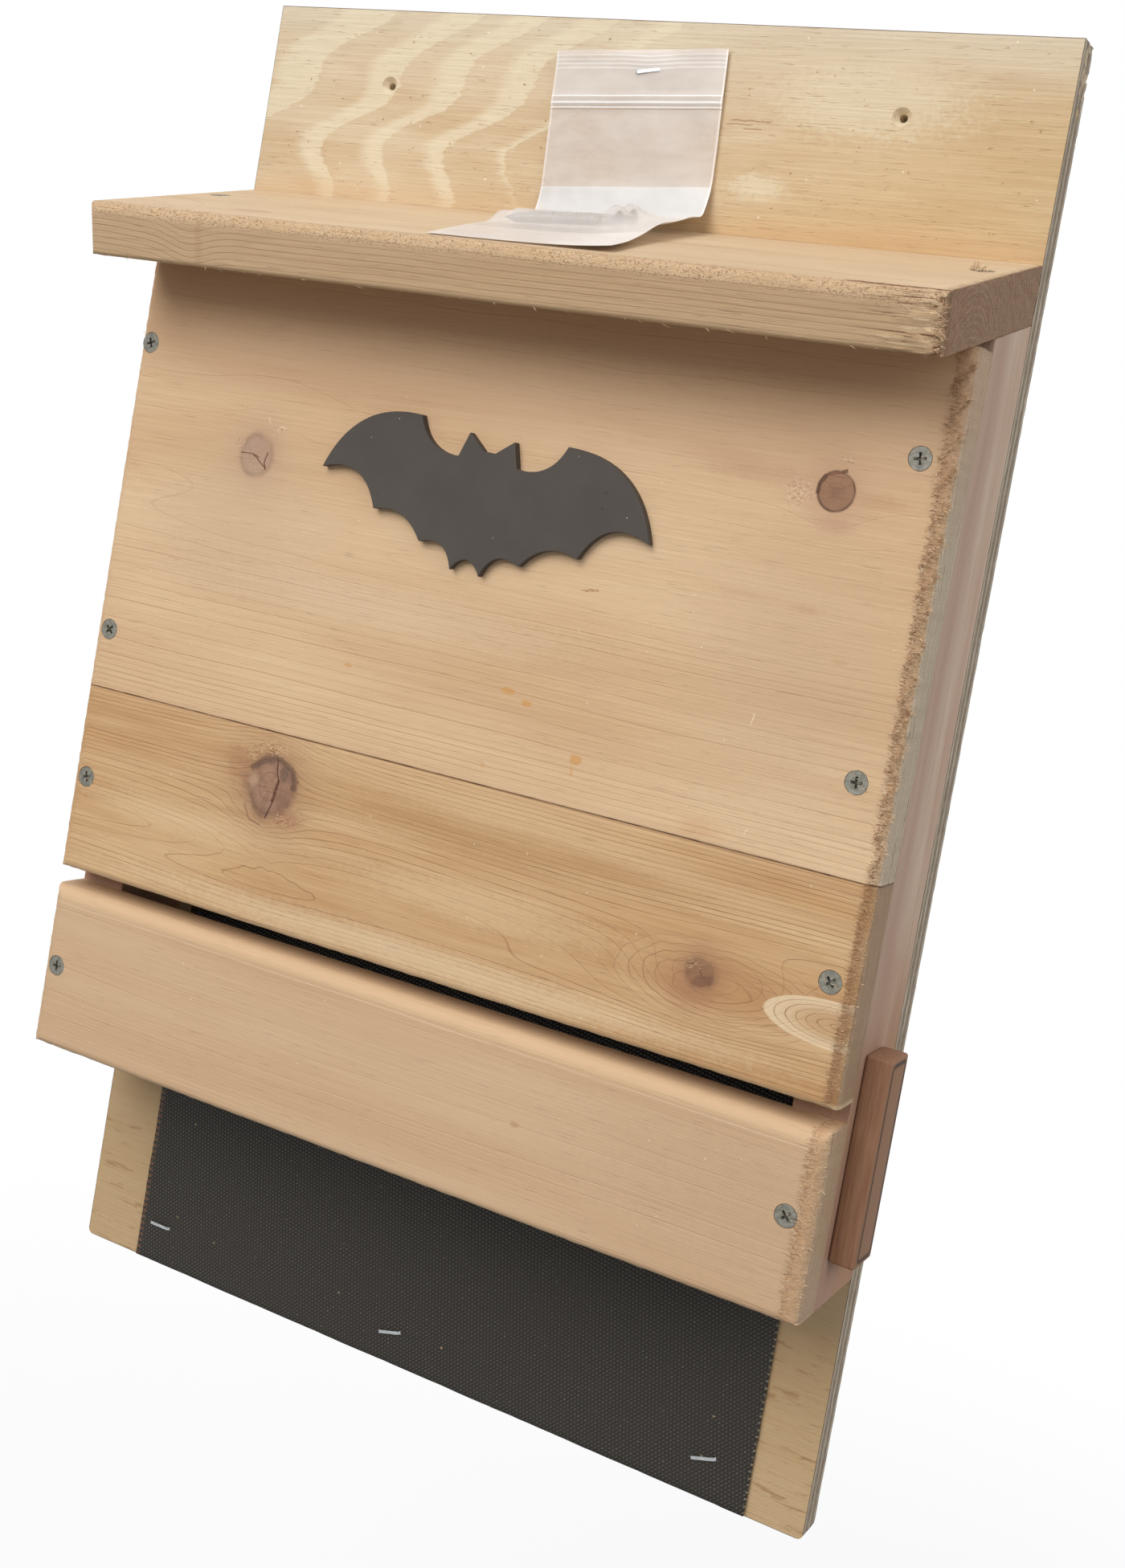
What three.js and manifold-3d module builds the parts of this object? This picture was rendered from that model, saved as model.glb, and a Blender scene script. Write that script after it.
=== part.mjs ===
// Wall-hung bat box: a plywood backboard with a shallow cedar roosting chamber in front of it.
//
// Frame: +X to the viewer's right, +Y into the wall, +Z up. The origin lies on the backboard's
// back face, midway between its two fixing holes.
//
// The chamber is open at the bottom. Two side rails hold the front boards off the backboard, a
// vent slot runs between the lower front board and the slat, and a black mesh on the backboard
// gives the bats something to climb, from the landing pad up to the roof.

import * as THREE from 'three';
import { mergeVertices } from 'three/addons/utils/BufferGeometryUtils.js';
import Module from 'manifold-3d';

const wasm = await Module();
wasm.setup();

// Backboard
const boxWidth = 355.6;
const backboardThickness = 12.7;
const backboardCornerRadius = 2.5;
const hangerHeight = 81.3;
const fixingHoleDrop = 31.8;
const fixingHoleSpacing = 230;
const fixingHoleDiameter = 3.2;
const fixingSinkDiameter = 7.6;
const fixingSinkDepth = 2.4;

// Stack of the front, from the backboard's bottom edge up
const landingHeight = 103;
const slatHeight = 69.2;
const ventGap = 8.2;
const lowerBoardHeight = 79;
const upperBoardHeight = 185.4;
const frontBoardThickness = 18.2;
const roundOverRadius = 5.5;
const lowerEdgeRadius = 3;

// Side rails
const railWidth = 21.5;
const railDepth = 41.5;

// Roof
const roofDepth = 101;
const roofThickness = 20.8;
const roofPitchDegrees = 15;
const roofRoundOver = 5;
const roofLowerEdgeRadius = 2;
const roofSeatGap = 0.3;

// Mesh on the backboard
const meshThickness = 1.2;
const meshLift = 0.3;
const meshLeftMargin = 8.3;
const meshRightMargin = 2.3;
const meshTopMargin = 8;
const meshBottomMargin = 0.4;

// Staples: a crown and two legs of flat wire
const stapleCrown = 10.6;
const stapleWireWidth = 1.3;
const stapleWireThickness = 0.6;
const stapleLegBiteShare = 0.6;
const topStapleDrop = 24;

// Wood screws
const screwHeadDiameter = 8.3;
const screwShankDiameter = 4.2;
const screwHeadLand = 0.5;
const screwConeDepth = 2.3;
const screwPointLength = 5;
const screwHeadSink = 0.2;
const frontScrewBiteShare = 0.55;
const backScrewBiteShare = 0.6;
const roofScrewBite = 20;
const roofScrewDepthShare = 0.715;
const mountingScrewLength = 50;
const recessSpan = 4.9;
const recessWidth = 1.1;
const recessDepth = 1.7;

// Bat figure and plaque
const batSpan = 146;
const batThickness = 3.5;
const batTiltDegrees = -3;
const batCentreHeightShare = 0.57;
const plaqueThickness = 10;
const plaqueDepth = 19;
const plaqueHeight = 76.5;
const plaqueSetback = 5.5;
const plaqueRise = 17;
const plaqueCornerRadius = 1.2;

// Zip bag
const bagWidth = 76;
const bagTopDrop = 12;
const bagCentreOffset = 3;
const bagFilm = 0.5;
const bagMouthGap = 0.6;
const bagBendRadius = 9;
const bagLyingShare = 0.86;
const bagSkew = 0.07;
const bagHeadOffset = 24;
const zipDrop = 18.5;
const zipHeight = 5;
const zipProud = 0.5;
const bagStapleDrop = 8.4;
const bagStapleOffset = 5;
const bagStapleTiltDegrees = 9;

// Clearances
const clearance = 0.3;
const overrun = 4;
const weldDistance = 1e-4;
const roundSegments = 20;
const cornerSegments = 3;

// Places along the stack, from the landing edge up to the hanger's top
const pitch = THREE.MathUtils.degToRad(roofPitchDegrees);
const boardFrontY = -backboardThickness;
const railFrontY = boardFrontY - railDepth;
const frontFaceY = railFrontY - frontBoardThickness;
const stackHeight = landingHeight + slatHeight + ventGap + lowerBoardHeight + upperBoardHeight;
const roofRise = roofSeatGap + (railDepth + frontBoardThickness) * Math.tan(pitch);
const roofTopRise = roofThickness / Math.cos(pitch) + roofSeatGap * Math.tan(pitch);
const backboardHeight = stackHeight + roofRise + roofTopRise + hangerHeight;
const topZ = fixingHoleDrop;
const bottomZ = topZ - backboardHeight;
const slatZ = bottomZ + landingHeight;
const lowerBoardZ = slatZ + slatHeight + ventGap;
const upperBoardZ = lowerBoardZ + lowerBoardHeight;
const upperBoardTopZ = upperBoardZ + upperBoardHeight;
const roofSeatZ = upperBoardTopZ + roofRise;
const roofTopZ = roofSeatZ + roofTopRise;
const railCentreX = (boxWidth - railWidth) / 2;
const chamberHalfWidth = boxWidth / 2 - railWidth;

// Screw places: side, distance outwards from the rail's centre line as a share of the rail's
// width, height as a share of the board's, and the turn of the recess in degrees
const upperScrewShares = [
  { side: -1, outShare: 0.2, heightShare: 0.79, turn: 20 },
  { side: -1, outShare: 0.12, heightShare: 0.134, turn: 48 },
  { side: 1, outShare: -0.1, heightShare: 0.785, turn: 8 },
  { side: 1, outShare: -0.16, heightShare: 0.18, turn: 4 },
];
const lowerScrewShares = [
  { side: -1, outShare: 0.12, heightShare: 0.508, turn: 15 },
  { side: 1, outShare: 0.02, heightShare: 0.546, turn: 40 },
];
const slatScrewShares = [
  { side: -1, outShare: 0.13, heightShare: 0.503, turn: 5 },
  { side: 1, outShare: 0, heightShare: 0.533, turn: 42 },
];
const backScrewHeightShares = [0.05, 0.42, 0.79];

// Bottom staples: place across the mesh, height on the landing pad, and tilt in degrees
const bottomStapleShares = [
  { name: 'left', acrossShare: 0.036, heightShare: 0.17, tilt: 0 },
  { name: 'centre', acrossShare: 0.452, heightShare: 0.13, tilt: 15 },
  { name: 'right', acrossShare: 0.934, heightShare: 0.156, tilt: 17 },
];
const topStapleShares = [
  { name: 'left', acrossShare: 0.05, tilt: 3 },
  { name: 'centre', acrossShare: 0.5, tilt: -4 },
  { name: 'right', acrossShare: 0.95, tilt: 2 },
];

// Right half of the bat's outline in shares of half its span, from the top of the head round the
// wing to the notch at the tail. bow is how far the stretch that starts there bows out, as a
// share of its length: positive outwards, negative inwards.
const batOutlineShares = [
  { x: 0.036, z: 0.252, bow: 0 },
  { x: 0.136, z: 0.332, bow: 0 },
  { x: 0.178, z: 0.2, bow: -0.19 },
  { x: 0.445, z: 0.367, bow: 0.186 },
  { x: 1, z: -0.018, bow: -0.245 },
  { x: 0.626, z: -0.173, bow: -0.18 },
  { x: 0.308, z: -0.282, bow: -0.27 },
  { x: 0.089, z: -0.385, bow: -0.12 },
  { x: 0, z: -0.314, bow: 0 },
];
const batArcSteps = 8;

// Bag thickness past the bend: place along the lying part, and share of the full swell
const bagSwellShares = [
  { alongShare: 0.14, swellShare: 1 },
  { alongShare: 0.52, swellShare: 1 },
  { alongShare: 0.8, swellShare: 0.35 },
  { alongShare: 1, swellShare: 0 },
];
const bagBendSteps = 5;
const mountingScrewAlongShares = [0.26, 0.39];

const plywood = new THREE.MeshStandardMaterial({ color: 0xdcc39a, roughness: 0.75, metalness: 0 });
const roofCedar = new THREE.MeshStandardMaterial({ color: 0xd6ba94, roughness: 0.7, metalness: 0 });
const paleCedar = new THREE.MeshStandardMaterial({ color: 0xd2b08a, roughness: 0.7, metalness: 0 });
const slatCedar = new THREE.MeshStandardMaterial({ color: 0xccad8b, roughness: 0.7, metalness: 0 });
const yellowCedar = new THREE.MeshStandardMaterial({ color: 0xc9a77c, roughness: 0.7, metalness: 0 });
const railCedar = new THREE.MeshStandardMaterial({ color: 0xb59480, roughness: 0.75, metalness: 0 });
const plaqueWood = new THREE.MeshStandardMaterial({ color: 0x9a7458, roughness: 0.7, metalness: 0 });
const blackMesh = new THREE.MeshStandardMaterial({ color: 0x34322f, roughness: 0.85, metalness: 0 });
const darkPanel = new THREE.MeshStandardMaterial({ color: 0x54504b, roughness: 0.8, metalness: 0 });
const zincSteel = new THREE.MeshStandardMaterial({ color: 0x8e8d89, roughness: 0.45, metalness: 0.9 });
const brightWire = new THREE.MeshStandardMaterial({ color: 0xc4c4c2, roughness: 0.3, metalness: 0.95 });
const clearFilm = new THREE.MeshStandardMaterial({
  color: 0xe6e2dd, roughness: 0.25, metalness: 0, transparent: true, opacity: 0.45,
});

// Six times the volume that a mesh encloses: negative when its faces point inwards.
function signedVolume(positions, indices) {
  const [a, b, c] = [new THREE.Vector3(), new THREE.Vector3(), new THREE.Vector3()];
  let volume = 0;
  for (let i = 0; i < indices.length; i += 3) {
    a.fromArray(positions, indices[i] * 3);
    b.fromArray(positions, indices[i + 1] * 3);
    c.fromArray(positions, indices[i + 2] * 3);
    volume += a.dot(b.cross(c));
  }
  return volume;
}

// Turns a closed geometry into a solid that can be joined and cut.
function toSolid(geometry, matrix = new THREE.Matrix4()) {
  const bare = geometry.clone().applyMatrix4(matrix);
  bare.deleteAttribute('normal');
  bare.deleteAttribute('uv');
  const merged = mergeVertices(bare, weldDistance);
  const vertProperties = new Float32Array(merged.attributes.position.array);
  const corners = [];
  for (let i = 0; i < merged.index.count; i += 3) {
    const [a, b, c] = [merged.index.getX(i), merged.index.getX(i + 1), merged.index.getX(i + 2)];
    if (a !== b && b !== c && c !== a) {
      corners.push(a, b, c);
    }
  }
  if (signedVolume(vertProperties, corners) < 0) {
    corners.reverse();
  }
  const triVerts = new Uint32Array(corners);
  return new wasm.Manifold(new wasm.Mesh({ numProp: 3, vertProperties, triVerts }));
}

function toGeometry(solid) {
  const mesh = solid.getMesh();
  const geometry = new THREE.BufferGeometry();
  geometry.setAttribute('position', new THREE.BufferAttribute(mesh.vertProperties, 3));
  geometry.setIndex(new THREE.BufferAttribute(mesh.triVerts, 1));
  geometry.computeVertexNormals();
  return geometry;
}

function closedGeometry(geometry) {
  return toGeometry(toSolid(geometry));
}

function piece(name, geometry, material) {
  const mesh = new THREE.Mesh(geometry, material);
  mesh.name = name;
  return mesh;
}

// Cuts the bores of the fasteners that pass through a board, wherever both are placed.
function drill(board, bores) {
  const intoBoard = board.matrixWorld.clone().invert();
  let solid = toSolid(board.geometry);
  for (const bore of bores) {
    const matrix = intoBoard.clone().multiply(bore.holder.matrixWorld);
    solid = solid.subtract(toSolid(bore.geometry, matrix));
  }
  board.geometry = toGeometry(solid);
}

// A rectangle with its own radius at each corner, counterclockwise from the lower left one.
function roundedRectangle(x0, y0, x1, y1, radii) {
  const corners = [
    { x: x0, y: y0, inX: 1, inY: 1, start: Math.PI },
    { x: x1, y: y0, inX: -1, inY: 1, start: -Math.PI / 2 },
    { x: x1, y: y1, inX: -1, inY: -1, start: 0 },
    { x: x0, y: y1, inX: 1, inY: -1, start: Math.PI / 2 },
  ];
  const shape = new THREE.Shape();
  corners.forEach((corner, i) => {
    const radius = radii[i];
    const centreX = corner.x + corner.inX * radius;
    const centreY = corner.y + corner.inY * radius;
    const startX = centreX + radius * Math.cos(corner.start);
    const startY = centreY + radius * Math.sin(corner.start);
    if (i === 0) {
      shape.moveTo(startX, startY);
    } else {
      shape.lineTo(startX, startY);
    }
    if (radius > 0) {
      shape.absarc(centreX, centreY, radius, corner.start, corner.start + Math.PI / 2, false);
    }
  });
  shape.closePath();
  return shape;
}

function extrude(shape, depth) {
  return new THREE.ExtrudeGeometry(shape, { depth, bevelEnabled: false, curveSegments: cornerSegments });
}

// Extrudes a side profile drawn in (y, z) across the box, from startX to the right.
function extrudeAcross(shape, width, startX = -width / 2) {
  const turn = new THREE.Matrix4().makeBasis(
    new THREE.Vector3(0, 1, 0),
    new THREE.Vector3(0, 0, 1),
    new THREE.Vector3(1, 0, 0),
  );
  return extrude(shape, width).translate(0, 0, startX).applyMatrix4(turn);
}

// Extrudes an outline drawn in (x, z) forwards from y = 0.
function extrudeForwards(shape, depth) {
  return extrude(shape, depth).rotateX(Math.PI / 2);
}

// A board standing on z = 0 with its back at y = 0 and round-overs on its front edges.
function boardGeometry(width, height, thickness, endRadius, bottomRadius, topRadius) {
  const plan = roundedRectangle(-width / 2, -thickness, width / 2, 0, [endRadius, endRadius, 0, 0]);
  const side = roundedRectangle(-thickness, 0, 0, height, [bottomRadius, 0, 0, topRadius]);
  const planSolid = toSolid(extrude(plan, height));
  const sideSolid = toSolid(extrudeAcross(side, width + overrun));
  return toGeometry(planSolid.intersect(sideSolid));
}

// A flat head wood screw: its face at y = 0 and its point at y = length.
function screwGeometry(length) {
  const profile = [
    new THREE.Vector2(0, 0),
    new THREE.Vector2(screwHeadDiameter / 2, 0),
    new THREE.Vector2(screwHeadDiameter / 2, screwHeadLand),
    new THREE.Vector2(screwShankDiameter / 2, screwHeadLand + screwConeDepth),
    new THREE.Vector2(screwShankDiameter / 2, length - screwPointLength),
    new THREE.Vector2(0, length),
  ];
  const recess = new THREE.BoxGeometry(recessSpan, recessDepth * 2, recessWidth);
  const crossRecess = recess.clone().rotateY(Math.PI / 2);
  const body = toSolid(new THREE.LatheGeometry(profile, roundSegments));
  return toGeometry(body.subtract(toSolid(recess)).subtract(toSolid(crossRecess)));
}

// The bore that such a screw sits in, with its clearance all round.
function screwBoreGeometry(length) {
  const headRadius = screwHeadDiameter / 2 + clearance;
  const shankRadius = screwShankDiameter / 2 + clearance;
  const profile = [
    new THREE.Vector2(0, -overrun),
    new THREE.Vector2(headRadius, -overrun),
    new THREE.Vector2(headRadius, screwHeadLand),
    new THREE.Vector2(shankRadius, screwHeadLand + screwConeDepth),
    new THREE.Vector2(shankRadius, length - screwPointLength),
    new THREE.Vector2(clearance, length + clearance),
    new THREE.Vector2(0, length + clearance),
  ];
  return new THREE.LatheGeometry(profile, roundSegments);
}

// A staple in front of the plane y = 0: crown outside, legs reaching in by bite.
function stapleGeometry(standoff, bite) {
  const outer = stapleCrown / 2;
  const inner = outer - stapleWireThickness;
  const shape = new THREE.Shape();
  shape.moveTo(-outer, bite);
  shape.lineTo(-outer, -standoff - stapleWireThickness);
  shape.lineTo(outer, -standoff - stapleWireThickness);
  shape.lineTo(outer, bite);
  shape.lineTo(inner, bite);
  shape.lineTo(inner, -standoff);
  shape.lineTo(-inner, -standoff);
  shape.lineTo(-inner, bite);
  shape.closePath();
  return closedGeometry(extrude(shape, stapleWireWidth).translate(0, 0, -stapleWireWidth / 2));
}

function stapleBoreGeometries(bite) {
  const width = stapleWireThickness + 2 * clearance;
  const height = stapleWireWidth + 2 * clearance;
  const depth = bite + clearance + overrun;
  const centreX = (stapleCrown - stapleWireThickness) / 2;
  const centreY = (bite + clearance - overrun) / 2;
  return [-1, 1].map((side) => (
    new THREE.BoxGeometry(width, depth, height).translate(side * centreX, centreY, 0)
  ));
}

// The bores that each board gets, with the fastener that holds each bore's place.
const drilling = new Map();
const sideNames = new Map([[-1, 'left'], [1, 'right']]);

function bore(board, holder, geometry) {
  if (!drilling.has(board)) {
    drilling.set(board, []);
  }
  drilling.get(board).push({ holder, geometry });
}

function addScrew(group, name, length, boards) {
  const screw = piece(name, screwGeometry(length), zincSteel);
  group.add(screw);
  for (const board of boards) {
    bore(board, screw, screwBoreGeometry(length));
  }
  return screw;
}

function addStaple(group, name, standoff, bite, boards) {
  const staple = piece(name, stapleGeometry(standoff, bite), brightWire);
  group.add(staple);
  for (const board of boards) {
    for (const geometry of stapleBoreGeometries(bite)) {
      bore(board, staple, geometry);
    }
  }
  return staple;
}

function makeBackboard() {
  const radii = [backboardCornerRadius, backboardCornerRadius, 0, 0];
  const outline = roundedRectangle(-boxWidth / 2, bottomZ, boxWidth / 2, topZ, radii);
  const board = piece('backboard', extrudeForwards(outline, backboardThickness), plywood);
  for (const side of [-1, 1]) {
    const profile = [
      new THREE.Vector2(0, -overrun),
      new THREE.Vector2(fixingSinkDiameter / 2, -overrun),
      new THREE.Vector2(fixingSinkDiameter / 2, 0),
      new THREE.Vector2(fixingHoleDiameter / 2, fixingSinkDepth),
      new THREE.Vector2(fixingHoleDiameter / 2, backboardThickness + overrun),
      new THREE.Vector2(0, backboardThickness + overrun),
    ];
    const hole = new THREE.Object3D();
    hole.position.set(side * fixingHoleSpacing / 2, boardFrontY, 0);
    board.add(hole);
    bore(board, hole, new THREE.LatheGeometry(profile, roundSegments));
  }
  return board;
}

function makeRail(name, side) {
  const backZ = roofSeatZ - slatZ + roofSeatGap * Math.tan(pitch) - roofSeatGap / Math.cos(pitch);
  const frontZ = backZ - railDepth * Math.tan(pitch);
  const profile = new THREE.Shape();
  profile.moveTo(-railDepth, 0);
  profile.lineTo(0, 0);
  profile.lineTo(0, backZ);
  profile.lineTo(-railDepth, frontZ);
  profile.closePath();
  const rail = piece(name, extrudeAcross(profile, railWidth), railCedar);
  rail.position.set(side * railCentreX, boardFrontY, slatZ);
  return rail;
}

function makeFrontBoard(name, z, height, material, bottomRadius, topRadius) {
  const geometry = boardGeometry(
    boxWidth, height, frontBoardThickness, roundOverRadius, bottomRadius, topRadius,
  );
  const board = piece(name, geometry, material);
  board.position.set(0, railFrontY, z);
  return board;
}

// The roof lies in its own turned group: y runs back up the slope, z square to it.
function makeRoof(group) {
  const backReach = roofThickness * Math.tan(pitch);
  const side = roundedRectangle(
    -roofDepth, 0, backReach, roofThickness, [roofLowerEdgeRadius, 0, 0, roofRoundOver],
  );
  const plan = roundedRectangle(
    -boxWidth / 2, -roofDepth, boxWidth / 2, backReach, [roundOverRadius, roundOverRadius, 0, 0],
  );
  const bevel = new THREE.Shape();
  bevel.moveTo(-overrun * Math.tan(pitch), -overrun);
  bevel.lineTo(backReach + 2 * overrun, -overrun);
  bevel.lineTo(backReach + 2 * overrun, roofThickness + overrun);
  bevel.lineTo(backReach + overrun * Math.tan(pitch), roofThickness + overrun);
  bevel.closePath();
  const board = toSolid(extrudeAcross(side, boxWidth + overrun))
    .intersect(toSolid(extrude(plan, roofThickness)))
    .subtract(toSolid(extrudeAcross(bevel, boxWidth + 2 * overrun)));
  const roof = piece('roof_board', toGeometry(board), roofCedar);
  group.position.set(0, boardFrontY - roofSeatGap, roofSeatZ);
  group.rotation.x = pitch;
  group.add(roof);
  return roof;
}

function makeMesh() {
  const left = -chamberHalfWidth + meshLeftMargin;
  const right = chamberHalfWidth - meshRightMargin;
  const low = bottomZ + meshBottomMargin;
  const high = roofSeatZ - meshTopMargin;
  const outline = roundedRectangle(left, low, right, high, [backboardCornerRadius, 0, 0, 0]);
  const mesh = piece('landing_mesh', extrudeForwards(outline, meshThickness), blackMesh);
  mesh.position.y = boardFrontY - meshLift;
  return { mesh, span: { left, width: right - left, high } };
}

function batHalfOutline() {
  const points = [];
  for (let i = 0; i + 1 < batOutlineShares.length; i += 1) {
    const from = batOutlineShares[i];
    const to = batOutlineShares[i + 1];
    const steps = from.bow === 0 ? 1 : batArcSteps;
    for (let step = 0; step < steps; step += 1) {
      const along = step / steps;
      const rise = 4 * from.bow * along * (1 - along);
      const x = from.x + (to.x - from.x) * along + (from.z - to.z) * rise;
      const z = from.z + (to.z - from.z) * along + (to.x - from.x) * rise;
      points.push({ x, z });
    }
  }
  return points;
}

function makeBatFigure() {
  const half = batHalfOutline();
  const tailNotch = batOutlineShares[batOutlineShares.length - 1];
  const mirrored = half.map((point) => ({ x: -point.x, z: point.z }));
  const outline = [...half, tailNotch, ...mirrored.reverse()];
  const scale = batSpan / 2;
  const shape = new THREE.Shape(outline.map((point) => new THREE.Vector2(point.x * scale, point.z * scale)));
  const figure = piece('bat_figure', extrudeForwards(shape, batThickness), darkPanel);
  figure.position.set(0, frontFaceY, upperBoardZ + upperBoardHeight * batCentreHeightShare);
  figure.rotation.y = -THREE.MathUtils.degToRad(batTiltDegrees);
  return figure;
}

function makePlaque() {
  const radii = Array(4).fill(plaqueCornerRadius);
  const outline = roundedRectangle(0, 0, plaqueDepth, plaqueHeight, radii);
  const plaque = piece('side_plaque', extrudeAcross(outline, plaqueThickness, 0), plaqueWood);
  plaque.position.set(boxWidth / 2, railFrontY + plaqueSetback, slatZ + plaqueRise);
  return plaque;
}

// Stations along the bag, from its mouth down the backboard, round the bend and down the roof.
function bagStations() {
  const header = 2 * bagFilm + bagMouthGap;
  const swell = screwHeadDiameter + 2 * bagFilm + 2 * clearance;
  const seatY = boardFrontY - clearance;
  const centreY = seatY - bagBendRadius;
  const reach = bagBendRadius + clearance;
  const centreZ = roofTopZ + reach * (1 - Math.sin(pitch)) / Math.cos(pitch);
  const stations = [{ y: seatY, z: topZ - bagTopDrop, angle: 0, thickness: header }];
  for (let step = 0; step <= bagBendSteps; step += 1) {
    const angle = (Math.PI / 2 - pitch) * step / bagBendSteps;
    const y = centreY + bagBendRadius * Math.cos(angle);
    const z = centreZ - bagBendRadius * Math.sin(angle);
    stations.push({ y, z, angle, thickness: header });
  }
  const bend = stations[stations.length - 1];
  const lying = roofDepth * bagLyingShare;
  for (const { alongShare, swellShare } of bagSwellShares) {
    const y = bend.y - lying * alongShare * Math.cos(pitch);
    const z = bend.z - lying * alongShare * Math.sin(pitch);
    const thickness = header + (swell - header) * swellShare;
    stations.push({ y, z, angle: bend.angle, thickness });
  }
  return { stations, lying, bend };
}

function bagSection(stations, inset) {
  const at = (station, height) => new THREE.Vector2(
    station.y - Math.cos(station.angle) * height,
    station.z + Math.sin(station.angle) * height,
  );
  const lower = stations.map((station) => at(station, inset));
  const upper = stations.map((station) => at(station, station.thickness - inset));
  return new THREE.Shape([...lower, ...upper.reverse()]);
}

function makeBag() {
  const { stations } = bagStations();
  const mouth = { ...stations[0], z: stations[0].z + overrun };
  const end = stations[stations.length - 1];
  const innerEnd = {
    ...end,
    y: end.y + bagFilm * Math.cos(pitch),
    z: end.z + bagFilm * Math.sin(pitch),
  };
  const innerStations = [mouth, ...stations.slice(1, -1), innerEnd];
  const lean = new THREE.Matrix4().makeShear(0, 0, -bagSkew, 0, -bagSkew, 0);
  const leanBack = new THREE.Matrix4().makeTranslation(0, -boardFrontY, -(topZ - bagTopDrop));
  const place = lean.clone().multiply(leanBack);
  const outer = toSolid(extrudeAcross(bagSection(stations, 0), bagWidth), place);
  const innerWidth = bagWidth - 2 * bagFilm;
  const inner = toSolid(extrudeAcross(bagSection(innerStations, bagFilm), innerWidth), place);
  const zipY = -(clearance + stations[0].thickness);
  const zipBar = new THREE.BoxGeometry(bagWidth, zipProud + bagFilm / 2, zipHeight)
    .translate(0, zipY + (bagFilm / 2 - zipProud) / 2, -zipDrop);
  const solid = outer.add(toSolid(zipBar, lean)).subtract(inner);
  const bag = piece('hardware_bag', toGeometry(solid), clearFilm);
  bag.position.set(bagCentreOffset, boardFrontY, topZ - bagTopDrop);
  return bag;
}

// The loose screws lie in the bag on the roof, on the rims of their heads and on their shanks,
// with the heads to the right.
function addMountingScrews(roofGroup) {
  const { lying, bend } = bagStations();
  const rimRise = (screwHeadDiameter - screwShankDiameter) / 2;
  const tilt = Math.atan2(rimRise, mountingScrewLength - screwPointLength);
  const seatZ = roofThickness + clearance + bagFilm + clearance;
  const bendY = (bend.y - boardFrontY + roofSeatGap + (roofThickness + clearance) * Math.sin(pitch))
    / Math.cos(pitch);
  mountingScrewAlongShares.forEach((alongShare, i) => {
    const holder = new THREE.Group();
    const screw = piece(`mounting_screw_${i + 1}`, screwGeometry(mountingScrewLength), zincSteel);
    screw.rotation.z = Math.PI / 2;
    holder.add(screw);
    holder.position.set(
      bagCentreOffset + bagHeadOffset,
      bendY - lying * alongShare,
      seatZ + screwHeadDiameter / 2 * Math.cos(tilt),
    );
    holder.rotation.y = -tilt;
    roofGroup.add(holder);
  });
}

function addFrontScrews(box, rows, rails) {
  const length = frontBoardThickness + railDepth * frontScrewBiteShare;
  for (const { board, name, height, shares } of rows) {
    shares.forEach(({ side, outShare, heightShare, turn }, i) => {
      const screw = addScrew(box, `${name}_${i + 1}`, length, [board, rails.get(side)]);
      const x = side * (railCentreX + outShare * railWidth);
      screw.position.set(x, frontFaceY + screwHeadSink, board.position.z + heightShare * height);
      screw.rotation.y = THREE.MathUtils.degToRad(turn);
    });
  }
}

function addBackScrews(box, backboard, rails) {
  const length = backboardThickness + railDepth * backScrewBiteShare;
  const railHeight = roofSeatZ - slatZ;
  for (const [side, rail] of rails) {
    backScrewHeightShares.forEach((heightShare, i) => {
      const name = `back_screw_${sideNames.get(side)}_${i + 1}`;
      const screw = addScrew(box, name, length, [backboard, rail]);
      screw.position.set(side * railCentreX, -screwHeadSink, slatZ + railHeight * heightShare);
      screw.rotation.z = Math.PI;
    });
  }
}

function addRoofScrews(roofGroup, roof, rails) {
  const setback = railDepth * roofScrewDepthShare / Math.cos(pitch);
  for (const [side, rail] of rails) {
    const name = `roof_screw_${sideNames.get(side)}`;
    const screw = addScrew(roofGroup, name, roofThickness + roofScrewBite, [roof, rail]);
    screw.position.set(side * railCentreX, -setback, roofThickness - screwHeadSink);
    screw.rotation.x = -Math.PI / 2;
  }
}

function addMeshStaples(box, backboard, mesh, span) {
  const standoff = meshLift + meshThickness + clearance;
  const bite = backboardThickness * stapleLegBiteShare;
  const bottomRow = bottomStapleShares.map((share) => (
    { ...share, row: 'bottom', z: bottomZ + landingHeight * share.heightShare }
  ));
  const topRow = topStapleShares.map((share) => (
    { ...share, row: 'top', z: span.high - topStapleDrop }
  ));
  for (const { row, name, acrossShare, tilt, z } of [...bottomRow, ...topRow]) {
    const boards = [backboard, mesh];
    const staple = addStaple(box, `mesh_staple_${row}_${name}`, standoff, bite, boards);
    staple.position.set(span.left + span.width * acrossShare, boardFrontY, z);
    staple.rotation.y = -THREE.MathUtils.degToRad(tilt);
  }
}

function addBagStaple(box, backboard, bag) {
  const standoff = clearance + 2 * bagFilm + bagMouthGap + clearance;
  const bite = backboardThickness * stapleLegBiteShare;
  const staple = addStaple(box, 'bag_staple', standoff, bite, [backboard, bag]);
  const z = topZ - bagTopDrop - bagStapleDrop;
  staple.position.set(bagCentreOffset + bagStapleOffset, boardFrontY, z);
  staple.rotation.y = -THREE.MathUtils.degToRad(bagStapleTiltDegrees);
}

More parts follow.
